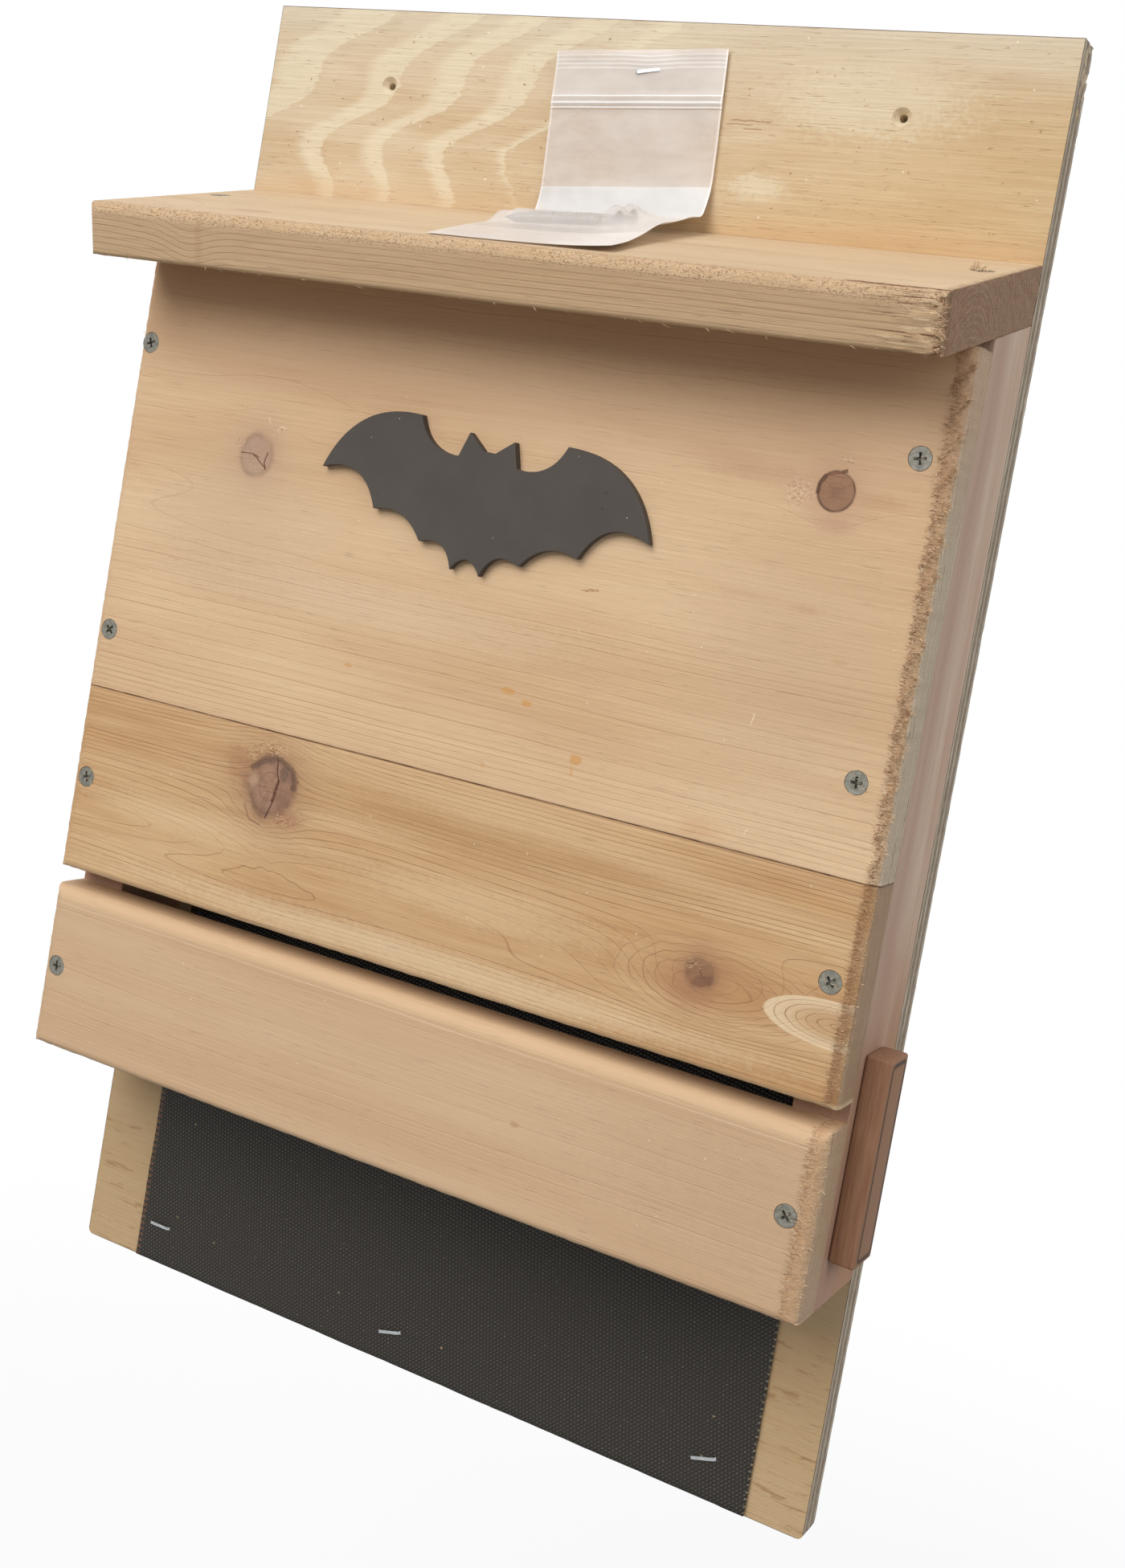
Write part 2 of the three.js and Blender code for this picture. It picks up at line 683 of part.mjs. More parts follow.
function makeBatBox() {
  const box = new THREE.Group();
  const roofGroup = new THREE.Group();
  const backboard = makeBackboard();
  const rails = new Map([[-1, makeRail('left_rail', -1)], [1, makeRail('right_rail', 1)]]);
  const roof = makeRoof(roofGroup);
  const upperBoard = makeFrontBoard(
    'upper_front_board', upperBoardZ, upperBoardHeight, paleCedar, 0, 0,
  );
  const lowerBoard = makeFrontBoard(
    'lower_front_board', lowerBoardZ, lowerBoardHeight, yellowCedar, lowerEdgeRadius, 0,
  );
  const slat = makeFrontBoard(
    'lower_slat', slatZ, slatHeight, slatCedar, lowerEdgeRadius, roundOverRadius,
  );
  const { mesh, span } = makeMesh();
  const bag = makeBag();
  box.add(backboard, ...rails.values(), roofGroup, upperBoard, lowerBoard, slat, mesh);
  box.add(makeBatFigure(), makePlaque(), bag);

  addFrontScrews(box, [
    { board: upperBoard, name: 'upper_board_screw', height: upperBoardHeight, shares: upperScrewShares },
    { board: lowerBoard, name: 'lower_board_screw', height: lowerBoardHeight, shares: lowerScrewShares },
    { board: slat, name: 'slat_screw', height: slatHeight, shares: slatScrewShares },
  ], rails);
  addBackScrews(box, backboard, rails);
  addRoofScrews(roofGroup, roof, rails);
  addMeshStaples(box, backboard, mesh, span);
  addBagStaple(box, backboard, bag);
  addMountingScrews(roofGroup);

  box.updateMatrixWorld(true);
  for (const [board, bores] of drilling) {
    drill(board, bores);
    board.remove(...board.children);
  }
  return box;
}

const group = makeBatBox();

export default group;
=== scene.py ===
"""Bat box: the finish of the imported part. Millimetres here become metres in the meshes."""
import math
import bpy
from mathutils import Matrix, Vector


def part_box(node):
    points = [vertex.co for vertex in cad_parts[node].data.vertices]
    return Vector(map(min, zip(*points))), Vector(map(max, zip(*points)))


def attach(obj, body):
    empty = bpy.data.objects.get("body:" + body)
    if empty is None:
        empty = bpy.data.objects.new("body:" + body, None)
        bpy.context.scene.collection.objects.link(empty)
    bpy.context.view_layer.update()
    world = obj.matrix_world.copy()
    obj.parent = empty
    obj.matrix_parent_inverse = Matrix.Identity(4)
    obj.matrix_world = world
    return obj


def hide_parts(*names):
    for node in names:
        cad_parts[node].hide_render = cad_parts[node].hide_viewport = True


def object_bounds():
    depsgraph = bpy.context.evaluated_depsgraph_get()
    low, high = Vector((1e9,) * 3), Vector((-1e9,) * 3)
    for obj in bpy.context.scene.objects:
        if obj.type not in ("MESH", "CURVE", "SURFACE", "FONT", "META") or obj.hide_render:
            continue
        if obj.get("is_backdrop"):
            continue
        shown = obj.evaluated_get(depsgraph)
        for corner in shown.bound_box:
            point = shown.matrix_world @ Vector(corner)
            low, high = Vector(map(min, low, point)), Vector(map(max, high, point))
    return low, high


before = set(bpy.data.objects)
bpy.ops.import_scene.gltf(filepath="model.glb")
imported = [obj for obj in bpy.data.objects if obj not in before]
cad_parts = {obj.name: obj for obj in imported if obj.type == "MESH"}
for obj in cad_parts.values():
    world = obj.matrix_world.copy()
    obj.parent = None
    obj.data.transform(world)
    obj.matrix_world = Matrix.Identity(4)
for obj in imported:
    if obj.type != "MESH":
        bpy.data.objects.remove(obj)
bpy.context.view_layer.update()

from types import SimpleNamespace

import bmesh
import bpy
from mathutils import Matrix, Vector, noise

MM = 0.001
BODY = "root"


def box_mm(node):
    """The lowest and highest corners of a CAD node in millimetres."""
    return [[value / MM for value in corner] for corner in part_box(node)]


def middle(node):
    """The middle of a CAD node's box, in millimetres."""
    return [(a + b) / 2 for a, b in zip(*box_mm(node))]


# Sizes and places in millimetres. The boards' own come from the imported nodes.
(LEFT, PLY_FRONT, BOTTOM), (RIGHT, _, TOP) = box_mm("backboard")
UPPER = box_mm("upper_front_board")
LOWER = box_mm("lower_front_board")
SLAT = box_mm("lower_slat")
FRONT_FACE = UPPER[0][1]

# The rest are the CAD part's measures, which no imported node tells. Places are a y and a z.
ROUND_OVER = 5.5
LOWER_ROUND = 3.0
SEAM_ROUND = 0.55
ROOF_ROUND = 5.0
ROOF_LOWER_ROUND = 2.0
PLY_CORNER = 2.5
RAIL_ARRIS = 0.5
ROUND_STEPS = 7
ROOF_DEPTH = 101.0
ROOF_THICK = 20.8
ROOF_PITCH = math.radians(15)
ROOF_HINGE = (PLY_FRONT - 0.3, -71.11)
ROOF_SCREW_BACK = 41.5 * 0.715 / math.cos(ROOF_PITCH)
UP_ROOF = Vector((0.0, -math.sin(ROOF_PITCH), math.cos(ROOF_PITCH)))
HEAD_RADIUS = 4.15
SHANK_RADIUS = 2.1
TORN_BORDER = 171.2
FRINGE_LEAN = 0.016
FIXING_X = 115.0
FRONT_LENGTH = 41.0
BACK_LENGTH = 37.6
ROOF_LENGTH = 40.8
LOOSE_LENGTH = 50.0
ROOF_TOP_BACK = (-18.383, -51.02)
BAG_WALL = -14.3


# Nodes

class Tree:
    """Adds nodes to one tree. What is handed in for a socket is a value or a plain number."""

    def __init__(self, data):
        self.data = data

    def put(self, socket, value):
        if isinstance(value, Value):
            self.data.links.new(value.socket, socket)
        else:
            socket.default_value = value

    def node(self, kind, values=None, **settings):
        count = len(self.data.nodes)
        made = self.data.nodes.new(kind)
        made.location = (180 * (count % 12), -220 * (count // 12))
        for name, value in settings.items():
            setattr(made, name, value)
        for key, value in (values or {}).items():
            self.put(made.inputs[key], value)
        return made

    def out(self, kind, values=None, output=0, **settings):
        return Value(self, self.node(kind, values, **settings).outputs[output])


class Value:
    """A socket to reckon with: each sign between values adds a node to its tree."""

    def __init__(self, tree, socket):
        self.tree = tree
        self.socket = socket

    def __neg__(self):
        return reckon("MULTIPLY", self, -1.0)

    def __abs__(self):
        return reckon("ABSOLUTE", self)


def tree_of(*values):
    """The tree of the first value that is a socket."""
    return next(value for value in values if isinstance(value, Value)).tree


def reckon(operation, *values, **settings):
    """One math node, for vectors where the first value is one."""
    first = next(value for value in values if isinstance(value, Value))
    kind = "ShaderNodeVectorMath" if first.socket.type == "VECTOR" else "ShaderNodeMath"
    output = 1 if operation in ("LENGTH", "DOT_PRODUCT") else 0
    return first.tree.out(kind, dict(enumerate(values)), output, operation=operation, **settings)


def set_sign(sign, operation):
    setattr(Value, f"__{sign}__", lambda one, other: reckon(operation, one, other))
    setattr(Value, f"__r{sign}__", lambda one, other: reckon(operation, other, one))


SIGNS = {"add": "ADD", "sub": "SUBTRACT", "mul": "MULTIPLY", "truediv": "DIVIDE", "pow": "POWER"}
for sign, operation in SIGNS.items():
    set_sign(sign, operation)


def most(a, b):
    return reckon("MAXIMUM", a, b)


def least(a, b):
    return reckon("MINIMUM", a, b)


def falling(value):
    """One at nought, and less and less as the value grows."""
    return reckon("EXPONENT", -value)


def fract(value):
    return reckon("FRACT", value)


def length(vector):
    return reckon("LENGTH", vector)


def step(value, start, end, low=0.0, high=1.0):
    """A soft step from low, at start, to high, at end."""
    values = {"Value": value, "From Min": start, "From Max": end, "To Min": low, "To Max": high}
    return value.tree.out("ShaderNodeMapRange", values, interpolation_type="SMOOTHSTEP")


def near(value, place, far, close):
    """One close to a place and nought further off."""
    return step(abs(value - place), far, close)


def parts(vector):
    made = vector.tree.node("ShaderNodeSeparateXYZ", {0: vector})
    return [Value(vector.tree, socket) for socket in made.outputs]


def joined(x=0.0, y=0.0, z=0.0):
    return tree_of(x, y, z).out("ShaderNodeCombineXYZ", {0: x, 1: y, 2: z})


def scaled(vector, by):
    return vector.tree.out("ShaderNodeVectorMath", {0: vector, "Scale": by}, operation="SCALE")


def stretch(vector, scale=(1.0, 1.0, 1.0), turn=(0.0, 0.0, 0.0), move=(0.0, 0.0, 0.0)):
    values = {"Vector": vector, "Scale": scale, "Rotation": turn, "Location": move}
    return vector.tree.out("ShaderNodeMapping", values)


def clouds(vector, scale=1.0, detail=2.0, rough=0.5):
    values = {"Vector": vector, "Scale": scale, "Detail": detail, "Roughness": rough}
    return vector.tree.out("ShaderNodeTexNoise", values)


def to_light(share):
    """How much light a share of a screen's brightness stands for."""
    return share / 12.92 if share <= 0.04045 else ((share + 0.055) / 1.055) ** 2.4


def tone(colour):
    """A colour given as it looks on a screen, as a shader takes it. Values and light pass unchanged."""
    if isinstance(colour, Value) or len(colour) == 4:
        return colour
    return (*(to_light(value / 255) for value in colour), 1.0)


def mix(share, a, b, blend="MIX"):
    values = {0: share, 6: tone(a), 7: tone(b)}
    return tree_of(share, a, b).out("ShaderNodeMix", values, 2, data_type="RGBA", blend_type=blend)


def paint(colour, mask, over, strength=1.0):
    """Lays another colour over the finish where the mask says."""
    return mix(mask if strength == 1.0 else mask * strength, colour, over)


def label_of(name):
    return name.replace("_", " ").capitalize()


def shader_group(name, **inputs):
    """Makes a shader group with these inputs. Its outputs are what the function below it returns."""
    def build(work):
        data = bpy.data.node_groups.new(name, "ShaderNodeTree")
        tree = Tree(data)
        for label, value in inputs.items():
            kind = "NodeSocketFloat" if isinstance(value, float) else "NodeSocketVector"
            socket = data.interface.new_socket(label_of(label), in_out="INPUT", socket_type=kind)
            if value is not None:
                socket.default_value = value
        given = tree.node("NodeGroupInput").outputs
        results = work(*(Value(tree, socket) for _, socket in zip(inputs, given)))
        for label in results:
            data.interface.new_socket(label_of(label), in_out="OUTPUT", socket_type="NodeSocketFloat")
        tree.node("NodeGroupOutput", {label_of(label): value for label, value in results.items()})
        return work
    return build


def group(name, vector=None, **values):
    """Places a shader group and returns its outputs by name."""
    if vector is not None:
        values["vector"] = vector
    tree = tree_of(*values.values())
    given = {label_of(label): value for label, value in values.items()}
    made = tree.node("ShaderNodeGroup", given, node_tree=bpy.data.node_groups[name])
    return SimpleNamespace(**{socket.name.lower(): Value(tree, socket) for socket in made.outputs})


# Camera, light and floor

def add_camera():
    """The camera stands where the photograph's perspective puts it."""
    data = bpy.data.cameras.new("viewpoint")
    data.sensor_width = 36.0
    data.lens = 43.441
    data.shift_x = 0.00092
    data.shift_y = -0.0958
    data.clip_start = 0.01
    camera = bpy.data.objects.new("viewpoint", data)
    right = Vector((0.870529, 0.461655, 0.17045))
    up = -Vector((0.183951, 0.015996, -0.982805))
    back = -Vector((-0.456444, 0.886915, -0.070997))
    turn = Matrix((right, up, back)).transposed().to_4x4()
    camera.matrix_world = Matrix.Translation((0.36154, -0.69300, -0.16067)) @ turn
    bpy.context.scene.collection.objects.link(camera)
    bpy.context.scene.camera = camera


def add_lamp(name, place, power, colour):
    """A large soft lamp that faces the box."""
    data = bpy.data.lights.new(name, "AREA")
    data.shape = "DISK"
    data.size = 2.0
    data.energy = power
    data.color = colour
    lamp = bpy.data.objects.new(name, data)
    lamp.location = place
    target = Vector((0.0, 0.0, -0.25))
    lamp.rotation_euler = (target - Vector(place)).to_track_quat("-Z", "Y").to_euler()
    bpy.context.scene.collection.objects.link(lamp)


def seen_rays(tree):
    """One for rays that come from the camera or by gloss or clear film, else nought."""
    rays = tree.node("ShaderNodeLightPath").outputs
    kinds = ("Camera", "Transmission", "Glossy")
    camera, through, gloss = (Value(tree, rays[f"Is {kind} Ray"]) for kind in kinds)
    return most(most(camera, through), gloss)


WHITE = (1.0, 1.0, 1.0, 1.0)


def add_world():
    """An even pale sky, darker below and brighter overhead; the camera and gloss see plain white."""
    world = bpy.data.worlds.new("pale_sky")
    bpy.context.scene.world = world
    world.use_nodes = True
    world.node_tree.nodes.clear()
    tree = Tree(world.node_tree)
    height = parts(tree.out("ShaderNodeTexCoord", output="Generated"))[2]
    strength = step(height, -0.1, 0.12, 0.12, 0.42) + step(height, 0.55, 0.95, 0.0, 0.25)
    sky = tree.out("ShaderNodeBackground", {"Color": (0.97, 0.985, 1.0, 1.0), "Strength": strength})
    white = tree.out("ShaderNodeBackground", {"Color": WHITE, "Strength": 1.0})
    blend = tree.out("ShaderNodeMixShader", {0: seen_rays(tree), 1: sky, 2: white})
    tree.node("ShaderNodeOutputWorld", {0: blend})


def new_material(name):
    """The tree of a new empty material, and a coordinate in millimetres from the object's own place."""
    material = bpy.data.materials.new(name)
    material.use_nodes = True
    material.node_tree.nodes.clear()
    tree = Tree(material.node_tree)
    tree.material = material
    return tree, scaled(tree.out("ShaderNodeTexCoord", output="Object"), 1 / MM)


def add_floor():
    """A plain pale floor well below the box. It keeps a soft shadow and fades to white further out."""
    reach, level = 6000.0, -1000.0
    corners = [(-reach, -reach, level), (reach, -reach, level), (reach, reach, level), (-reach, reach, level)]
    tree, place = new_material("pale_floor")
    seen = seen_rays(tree)
    share = seen * step(length(place * (1.0, 1.0, 0.0)), 400.0, 1500.0, 0.7, 1.0)
    colour = mix(seen, (0.25, 0.25, 0.245, 1.0), (0.98, 0.98, 0.98, 1.0))
    matt = tree.out("ShaderNodeBsdfDiffuse", {"Color": colour})
    white = tree.out("ShaderNodeEmission", {"Color": WHITE, "Strength": 1.0})
    blend = tree.out("ShaderNodeMixShader", {0: share, 1: matt, 2: white})
    tree.node("ShaderNodeOutputMaterial", {0: blend})
    build_mesh("floor", corners, [(0, 1, 2, 3)], tree.material)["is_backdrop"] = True


# Shader groups that several finishes share

@shader_group("Ring bump", vector=None, centre=(0, 0, 0), reach=(50, 1000, 10), height=1.0)
def ring_bump(vector, centre, reach, height):
    """A smooth hump in the ring count, so growth lines close round it or bend past it."""
    ratio = (vector - centre) / reach
    return {"value": falling(reckon("DOT_PRODUCT", ratio, ratio)) * height}


@shader_group("Knot", vector=None, centre=(0, 0, 0), radius=(5, 1000, 6), ragged=0.25, rim_width=0.08,
              rim_gaps=0.5)
def knot_shape(vector, centre, radius, ragged, rim_width, rim_gaps):
    """A knot: its body, thin dark rim, soft halo, rays and own rings, and how it pushes the grain aside."""
    offset = vector - centre
    ratio = offset / radius
    reach = length(ratio) + (clouds(offset, 0.12) - 0.5) * ragged
    rim = (reach - 0.97) / rim_width
    patch = step(clouds(offset, 0.1), 0.56, 0.42)
    side, _, across = parts(ratio)
    polar = joined(reckon("ARCTAN2", across, side) * 3.5, reach * 1.2)
    return {
        "body": step(reach, 1.05, 0.85),
        "rim": falling(rim * rim) * (1.0 - patch * rim_gaps),
        "halo": falling((reach * 0.6) ** 2.0),
        "rings": reach * 4.0,
        "rays": clouds(polar + centre, 1.0, 3.0, 0.6),
        "lift": -across / (reach ** 2.0 + 0.45),
    }


@shader_group("Growth lines", rings=0.0, width=0.5, unevenness=0.6)
def growth_lines(rings, width, unevenness):
    """Growth lines from a ring count: each ring darkens over its last share and ends sharply."""
    share = fract(rings)
    chance = rings.tree.out("ShaderNodeTexWhiteNoise", {"W": reckon("FLOOR", rings)}, noise_dimensions="1D")
    peak = 1.0 - width * 0.16
    rise = step(share, 1.0 - width, peak) ** 1.6
    return {"line": rise * step(share, 1.0, peak) * (1.0 - chance * unevenness), "tone": chance}


@shader_group("Wood fibre", vector=None, length=30.0, width=0.5)
def wood_fibre(vector, along, width):
    """Fine streaks and open pores along X, in millimetres."""
    across = 1.0 / width
    stretched = vector * joined(1.0 / along, across, across)
    streaks = clouds(stretched, 0.6, 5.0, 0.62)
    pores = step(clouds(stretched * (3.2, 1.3, 1.3)), 0.64, 0.76)
    return {"streaks": streaks, "pores": pores, "height": streaks - pores * 0.8}


@shader_group("Split line", vector=None, centre=(0, 0, 0), turn=0.0, length=10.0, width=0.4, wander=1.0)
def split_line(vector, centre, turn, long, width, wander):
    """A thin wandering line, such as a crack, a scratch or a torn edge."""
    values = {"Vector": vector, "Center": centre, "Angle": turn}
    turned = vector.tree.out("ShaderNodeVectorRotate", values, rotation_type="Y_AXIS")
    along, _, across = parts(turned - centre)
    across = across + (clouds(vector, 0.35, 3.0, 0.6) - 0.5) * wander
    return {"mask": step(abs(across) / width, 1.0, 0.35) * step(abs(along) / long, 0.5, 0.36)}


@shader_group("Spot", vector=None, centre=(0, 0, 0), reach=(3, 1000, 2), ragged=0.8, softness=0.3)
def spot_shape(vector, centre, reach, ragged, softness):
    """An irregular blot, such as resin, a smudge or a chip."""
    offset = vector - centre
    far = length(offset / reach) + (clouds(offset, 0.45, 4.0, 0.65) - 0.5) * ragged
    return {"mask": step(far, 1.0, 1.0 - softness)}


@shader_group("Specks", vector=None, spacing=6.0, size=0.1, share=0.5)
def speck_shape(vector, spacing, size, share):
    """Scattered flecks, of which only some of the cells hold one."""
    cells = vector.tree.node("ShaderNodeTexVoronoi", {"Vector": scaled(vector, 1.0 / spacing), "Scale": 1.0})
    distance, colour = (Value(vector.tree, cells.outputs[name]) for name in ("Distance", "Color"))
    chance, shade, _ = parts(colour)
    held = reckon("LESS_THAN", chance, share)
    return {"mask": step(distance / (size * (shade + 0.4)), 1.0, 0.5) * held, "tone": shade}


@shader_group("Torn grain", vector=None, across=0.0, wander=2.0)
def torn_grain(vector, across, wander):
    """Torn grain beyond a wandering border: where it lies, its border, its ridges, gaps and fluff."""
    jag = clouds(stretch(vector, (0.2, 0.3, 1.0)), 1.1, 3.0, 0.65) - 0.5
    place = across + (clouds(vector, 0.07) - 0.5) * wander + jag * 4.2
    return {
        "mask": step(place, -0.25, 0.5),
        "edge": falling(((place - 0.9) * 0.62) ** 2.0),
        "height": clouds(stretch(vector, (0.25, 0.4, 1.2)), 1.0, 4.0, 0.65),
        "gaps": step(clouds(stretch(vector, (0.5, 0.6, 1.9)), 0.9, 3.0, 0.7), 0.5, 0.6),
        "fluff": step(clouds(stretch(vector, (0.7, 0.8, 2.3), move=(9, 4, 2)), 0.9, 3.0, 0.7), 0.53, 0.64),
    }


@shader_group("Weave", vector=None, across=1.35, down=1.35)
def weave_shape(vector, across, down):
    """Staggered little humps of a woven sheet, over X and Z in millimetres."""
    x, _, z = parts(vector)
    row = z / down
    shift = reckon("FLOORED_MODULO", reckon("FLOOR", row), 2.0) * 0.5
    u = fract(x / across + shift) - 0.5
    v = fract(row) - 0.5
    return {"height": step(u * u * 1.3 + v * v * 1.6, 0.3, 0.0)}


# Wood

def end_material(tree, colour, height=None, bump=(0.5, 0.0004), **values):
    """The shader itself, with plain numbers on its own sockets. Returns the finished material."""
    given = {label.replace("_", " "): value for label, value in values.items()}
    if height is not None:
        relief = {"Height": height, "Strength": bump[0], "Distance": bump[1]}
        given["Normal"] = tree.out("ShaderNodeBump", relief)
    shader = tree.out("ShaderNodeBsdfPrincipled", {"Base Color": colour, **given})
    tree.node("ShaderNodeOutputMaterial", {0: shader})
    return tree.material


def knot(x, z, wide, high, push, body, dark, halo, y=0.0, deep=1000.0, ragged=0.3, rim_width=0.08,
         rim_gaps=0.5, halo_share=0.5, ring_share=0.15, ray_share=0.3, body_share=1.0, rim_share=0.8):
    """One knot: its place, half sizes, how far it pushes the grain, its tones and their shares."""
    return SimpleNamespace(**locals())


def scratch(x, z, turn, long, colour, width, share=0.9, wander=1.0, lift=0.0):
    """A thin line about a place on a board's face, turned by so many degrees."""
    return SimpleNamespace(**locals())


def cracks(places, colour, width=0.3, share=0.9, wander=0.8, lift=0.0):
    """Thin lines that join places in turn, each an x and a z."""
    made = []
    for (x0, z0), (x1, z1) in zip(places, places[1:]):
        turn = math.degrees(math.atan2(z1 - z0, x1 - x0))
        long = math.hypot(x1 - x0, z1 - z0) * 1.15
        made.append(scratch((x0 + x1) / 2, (z0 + z1) / 2, turn, long, colour, width, share, wander, lift))
    return made


def spots(rows, share=0.7, soft=0.4, ragged=0.9):
    """Blots: x, z, half width, half height, tone and, where they differ, share, softness, raggedness."""
    return [(*row, *(share, soft, ragged)[len(row) - 5:]) for row in rows]


def spot_mask(place, x, z, wide, high, ragged, softness):
    return group("Spot", place, centre=(x, 0, z), reach=(wide, 1000, high), ragged=ragged,
                 softness=softness).mask


def split_mask(place, x, z, turn, long, width, wander, y=0.0):
    return group("Split line", place, centre=(x, y, z), turn=math.radians(turn), length=long, width=width,
                 wander=wander).mask


def ring_count(place, plan):
    """The board's ring count: slopes, humps, bends and a slow wobble."""
    size, wobble = plan.wobble
    count = (clouds(stretch(place, size)) - 0.5) * wobble
    axes = parts(place)
    for part, slope in zip(axes, plan.slope):
        if slope:
            count = count + part * slope
    for start, reach, slope in plan.bends:
        count = count + reckon("SMOOTH_MAX", -(axes[2] - start), 0.0, reach) * slope
    for centre, reach, height in plan.humps:
        count = count + group("Ring bump", place, centre=centre, reach=reach, height=height).value
    return count


def line_share(place, plan, count):
    """How much of each ring its dark line takes, so that a line keeps its width where rings spread."""
    aside = 0.5
    across = ring_count(place + (aside, 0.0, 0.0), plan) - count
    up = ring_count(place + (0.0, 0.0, aside), plan) - count
    slope = reckon("SQRT", across * across + up * up)
    return least(most(slope * (plan.line_width / aside), 0.05), 0.62)


def paint_knot(shape, given, fibre, colour, height):
    """Lays one knot over the finish: halo, body with rays and faint rings, thin rim."""
    colour = paint(colour, shape.halo, given.halo, given.halo_share)
    inner = group("Growth lines", rings=shape.rings, width=0.6, unevenness=0.5)
    body = mix(inner.line * given.ring_share, given.body, given.dark)
    body = mix(step(shape.rays, 0.42, 0.66) * given.ray_share, body, given.dark)
    body = mix(step(fibre.streaks, 0.4, 0.65) * 0.12, body, given.dark)
    colour = paint(colour, shape.body, body, given.body_share)
    colour = paint(colour, shape.rim, given.dark, given.rim_share)
    return colour, height + shape.rim * -0.5


PLAIN_WOOD = {
    "fleck": (236, 216, 186), "line_width": 0.8, "line_low": 0.35, "unevenness": 0.6, "streak": 0.22,
    "pores": 0.3, "bends": (), "humps": (), "knots": (), "spots": (), "torn": (), "splits": (), "strips": (),
    "fade": None, "turn": None, "move": (0, 0, 0),
}


def wood(name, **given):
    """Planed wood: growth lines, fibre, knots, splits, spots, flecks and torn patches, as the plan says."""
    tree, place = new_material(name)
    plan = SimpleNamespace(**{**PLAIN_WOOD, **given})
    if plan.turn:
        place = stretch(place, turn=plan.turn, move=plan.move)
    shapes = [
        group("Knot", place, centre=(k.x, k.y, k.z), radius=(k.wide, k.deep, k.high), ragged=k.ragged,
              rim_width=k.rim_width, rim_gaps=k.rim_gaps)
        for k in plan.knots
    ]
    count = ring_count(place, plan)
    width = line_share(place, plan, count)
    for shape, k in zip(shapes, plan.knots):
        count = count + shape.lift * k.push
    lines = group("Growth lines", rings=count, width=width, unevenness=plan.unevenness)
    fibre = group("Wood fibre", place, length=40.0, width=0.55)
    colour = mix(step(clouds(stretch(place, plan.cloud), 1.0, 3.0, 0.55), 0.3, 0.7), plan.pale, plan.deep)
    fade = step(clouds(stretch(place, plan.cloud, move=(70, 0, 30)), 1.4), 0.25, 0.65, plan.line_low, 1.0)
    if plan.fade:
        weights, start, end, low = plan.fade
        fade = fade * step(reckon("DOT_PRODUCT", place, weights), start, end, low, 1.0)
    colour = paint(colour, lines.line * fade, plan.line, plan.line_share)
    colour = mix(most((lines.tone - 0.5) * 0.1, 0.0), colour, plan.line)
    streak = step(fibre.streaks, 0.35, 0.7)
    colour = mix(plan.streak, colour, mix(streak, plan.line, plan.pale), "SOFT_LIGHT")
    colour = paint(colour, fibre.pores, plan.line, plan.pores)
    height = fibre.height * 0.6 + lines.line * -0.35

    for shape, k in zip(shapes, plan.knots):
        colour, height = paint_knot(shape, k, fibre, colour, height)
    for x, z, wide, high, over, share, soft, ragged in plan.spots:
        colour = paint(colour, spot_mask(place, x, z, wide, high, ragged, soft), over, share)
    bits = clouds(stretch(place, (0.9, 1.0, 1.5)), 1.0, 3.0, 0.7) if plan.torn else None
    for x, z, wide, high, share, gap in plan.torn:
        mask = spot_mask(place, x, z, wide, high, 1.6, 0.8)
        colour = paint(colour, step(bits, 0.54, 0.62) * mask, gap, share)
        colour = paint(colour, step(bits, 0.46, 0.4) * mask, plan.fluff, share * 0.8)
    for line in plan.splits:
        mask = split_mask(place, line.x, line.z, line.turn, line.long, line.width, line.wander)
        colour = paint(colour, mask, line.colour, line.share)
        if line.lift:
            height = height + mask * line.lift
    flecks = group("Specks", place, spacing=7.0, size=0.07, share=0.3)
    fleck_tone = mix(reckon("GREATER_THAN", flecks.tone, 0.45), plan.line, plan.fleck)
    colour = paint(colour, flecks.mask, fleck_tone, 0.5)
    for rule in plan.strips:
        colour, height = rule(place, colour, height)
    return end_material(tree, colour, height, (0.55, 0.0005), Roughness=0.68, Specular_IOR_Level=0.3)


def end_strip(border, wander, over, share, gap, fluff, end_face, end_line, edge_share, within=0.5, heart=None,
              lean=0.0):
    """The rule for a board's end: a rough round-over with a fringed border and painted shade in its gaps,
    then the sawn end.
    """
    def rule(place, colour, height):
        x, y, z = parts(place)
        across = x - border
        if lean:
            across = across + (z - UPPER[1][2]) * lean
        rough = group("Torn grain", place, across=across, wander=wander)
        depth = step(rough.height, 0.3, 0.65, 0.55, 1.0)
        away = step(x, RIGHT - 1.0, border + 2.2, 0.3, 1.0)
        colour = paint(colour, rough.mask * depth * away, over, share)
        inner = most(rough.edge, rough.mask * within)
        gaps, threads = inner * rough.gaps, inner * rough.fluff
        # The gap tone is painted shade between the torn fibres of the fringe.
        colour = paint(colour, gaps, gap, edge_share)
        colour = paint(colour, threads, fluff, edge_share)
        sawn = step(x, RIGHT - 1.2, RIGHT - 0.4)
        wave = clouds(stretch(place, (0.1, 0.25, 0.03)))
        if heart is None:
            rings = y * 0.62 + wave * 3.0
        else:
            rings = length((place - (0.0, *heart)) * (0.0, 1.0, 1.0)) * 0.4 + wave
        lines = group("Growth lines", rings=rings, width=0.5, unevenness=0.4)
        fuzz = clouds(stretch(place, (1.0, 1.2, 0.5)), 0.9, 5.0, 0.75)
        face = mix(lines.line * 0.9, end_face, end_line)
        face = mix(step(fuzz, 0.5, 0.72) * 0.35, face, fluff)
        drop = (rough.height - 0.6) * rough.mask * 1.6 - gaps + threads
        return mix(sawn, colour, face), height + drop + fuzz * sawn * 0.8
    return rule


def seam_line(level, over):
    """The rule for painted shade in the seam where two boards meet."""
    def rule(place, colour, height):
        return paint(colour, near(parts(place)[2], level, 0.6, 0.18), over, 0.6), height
    return rule


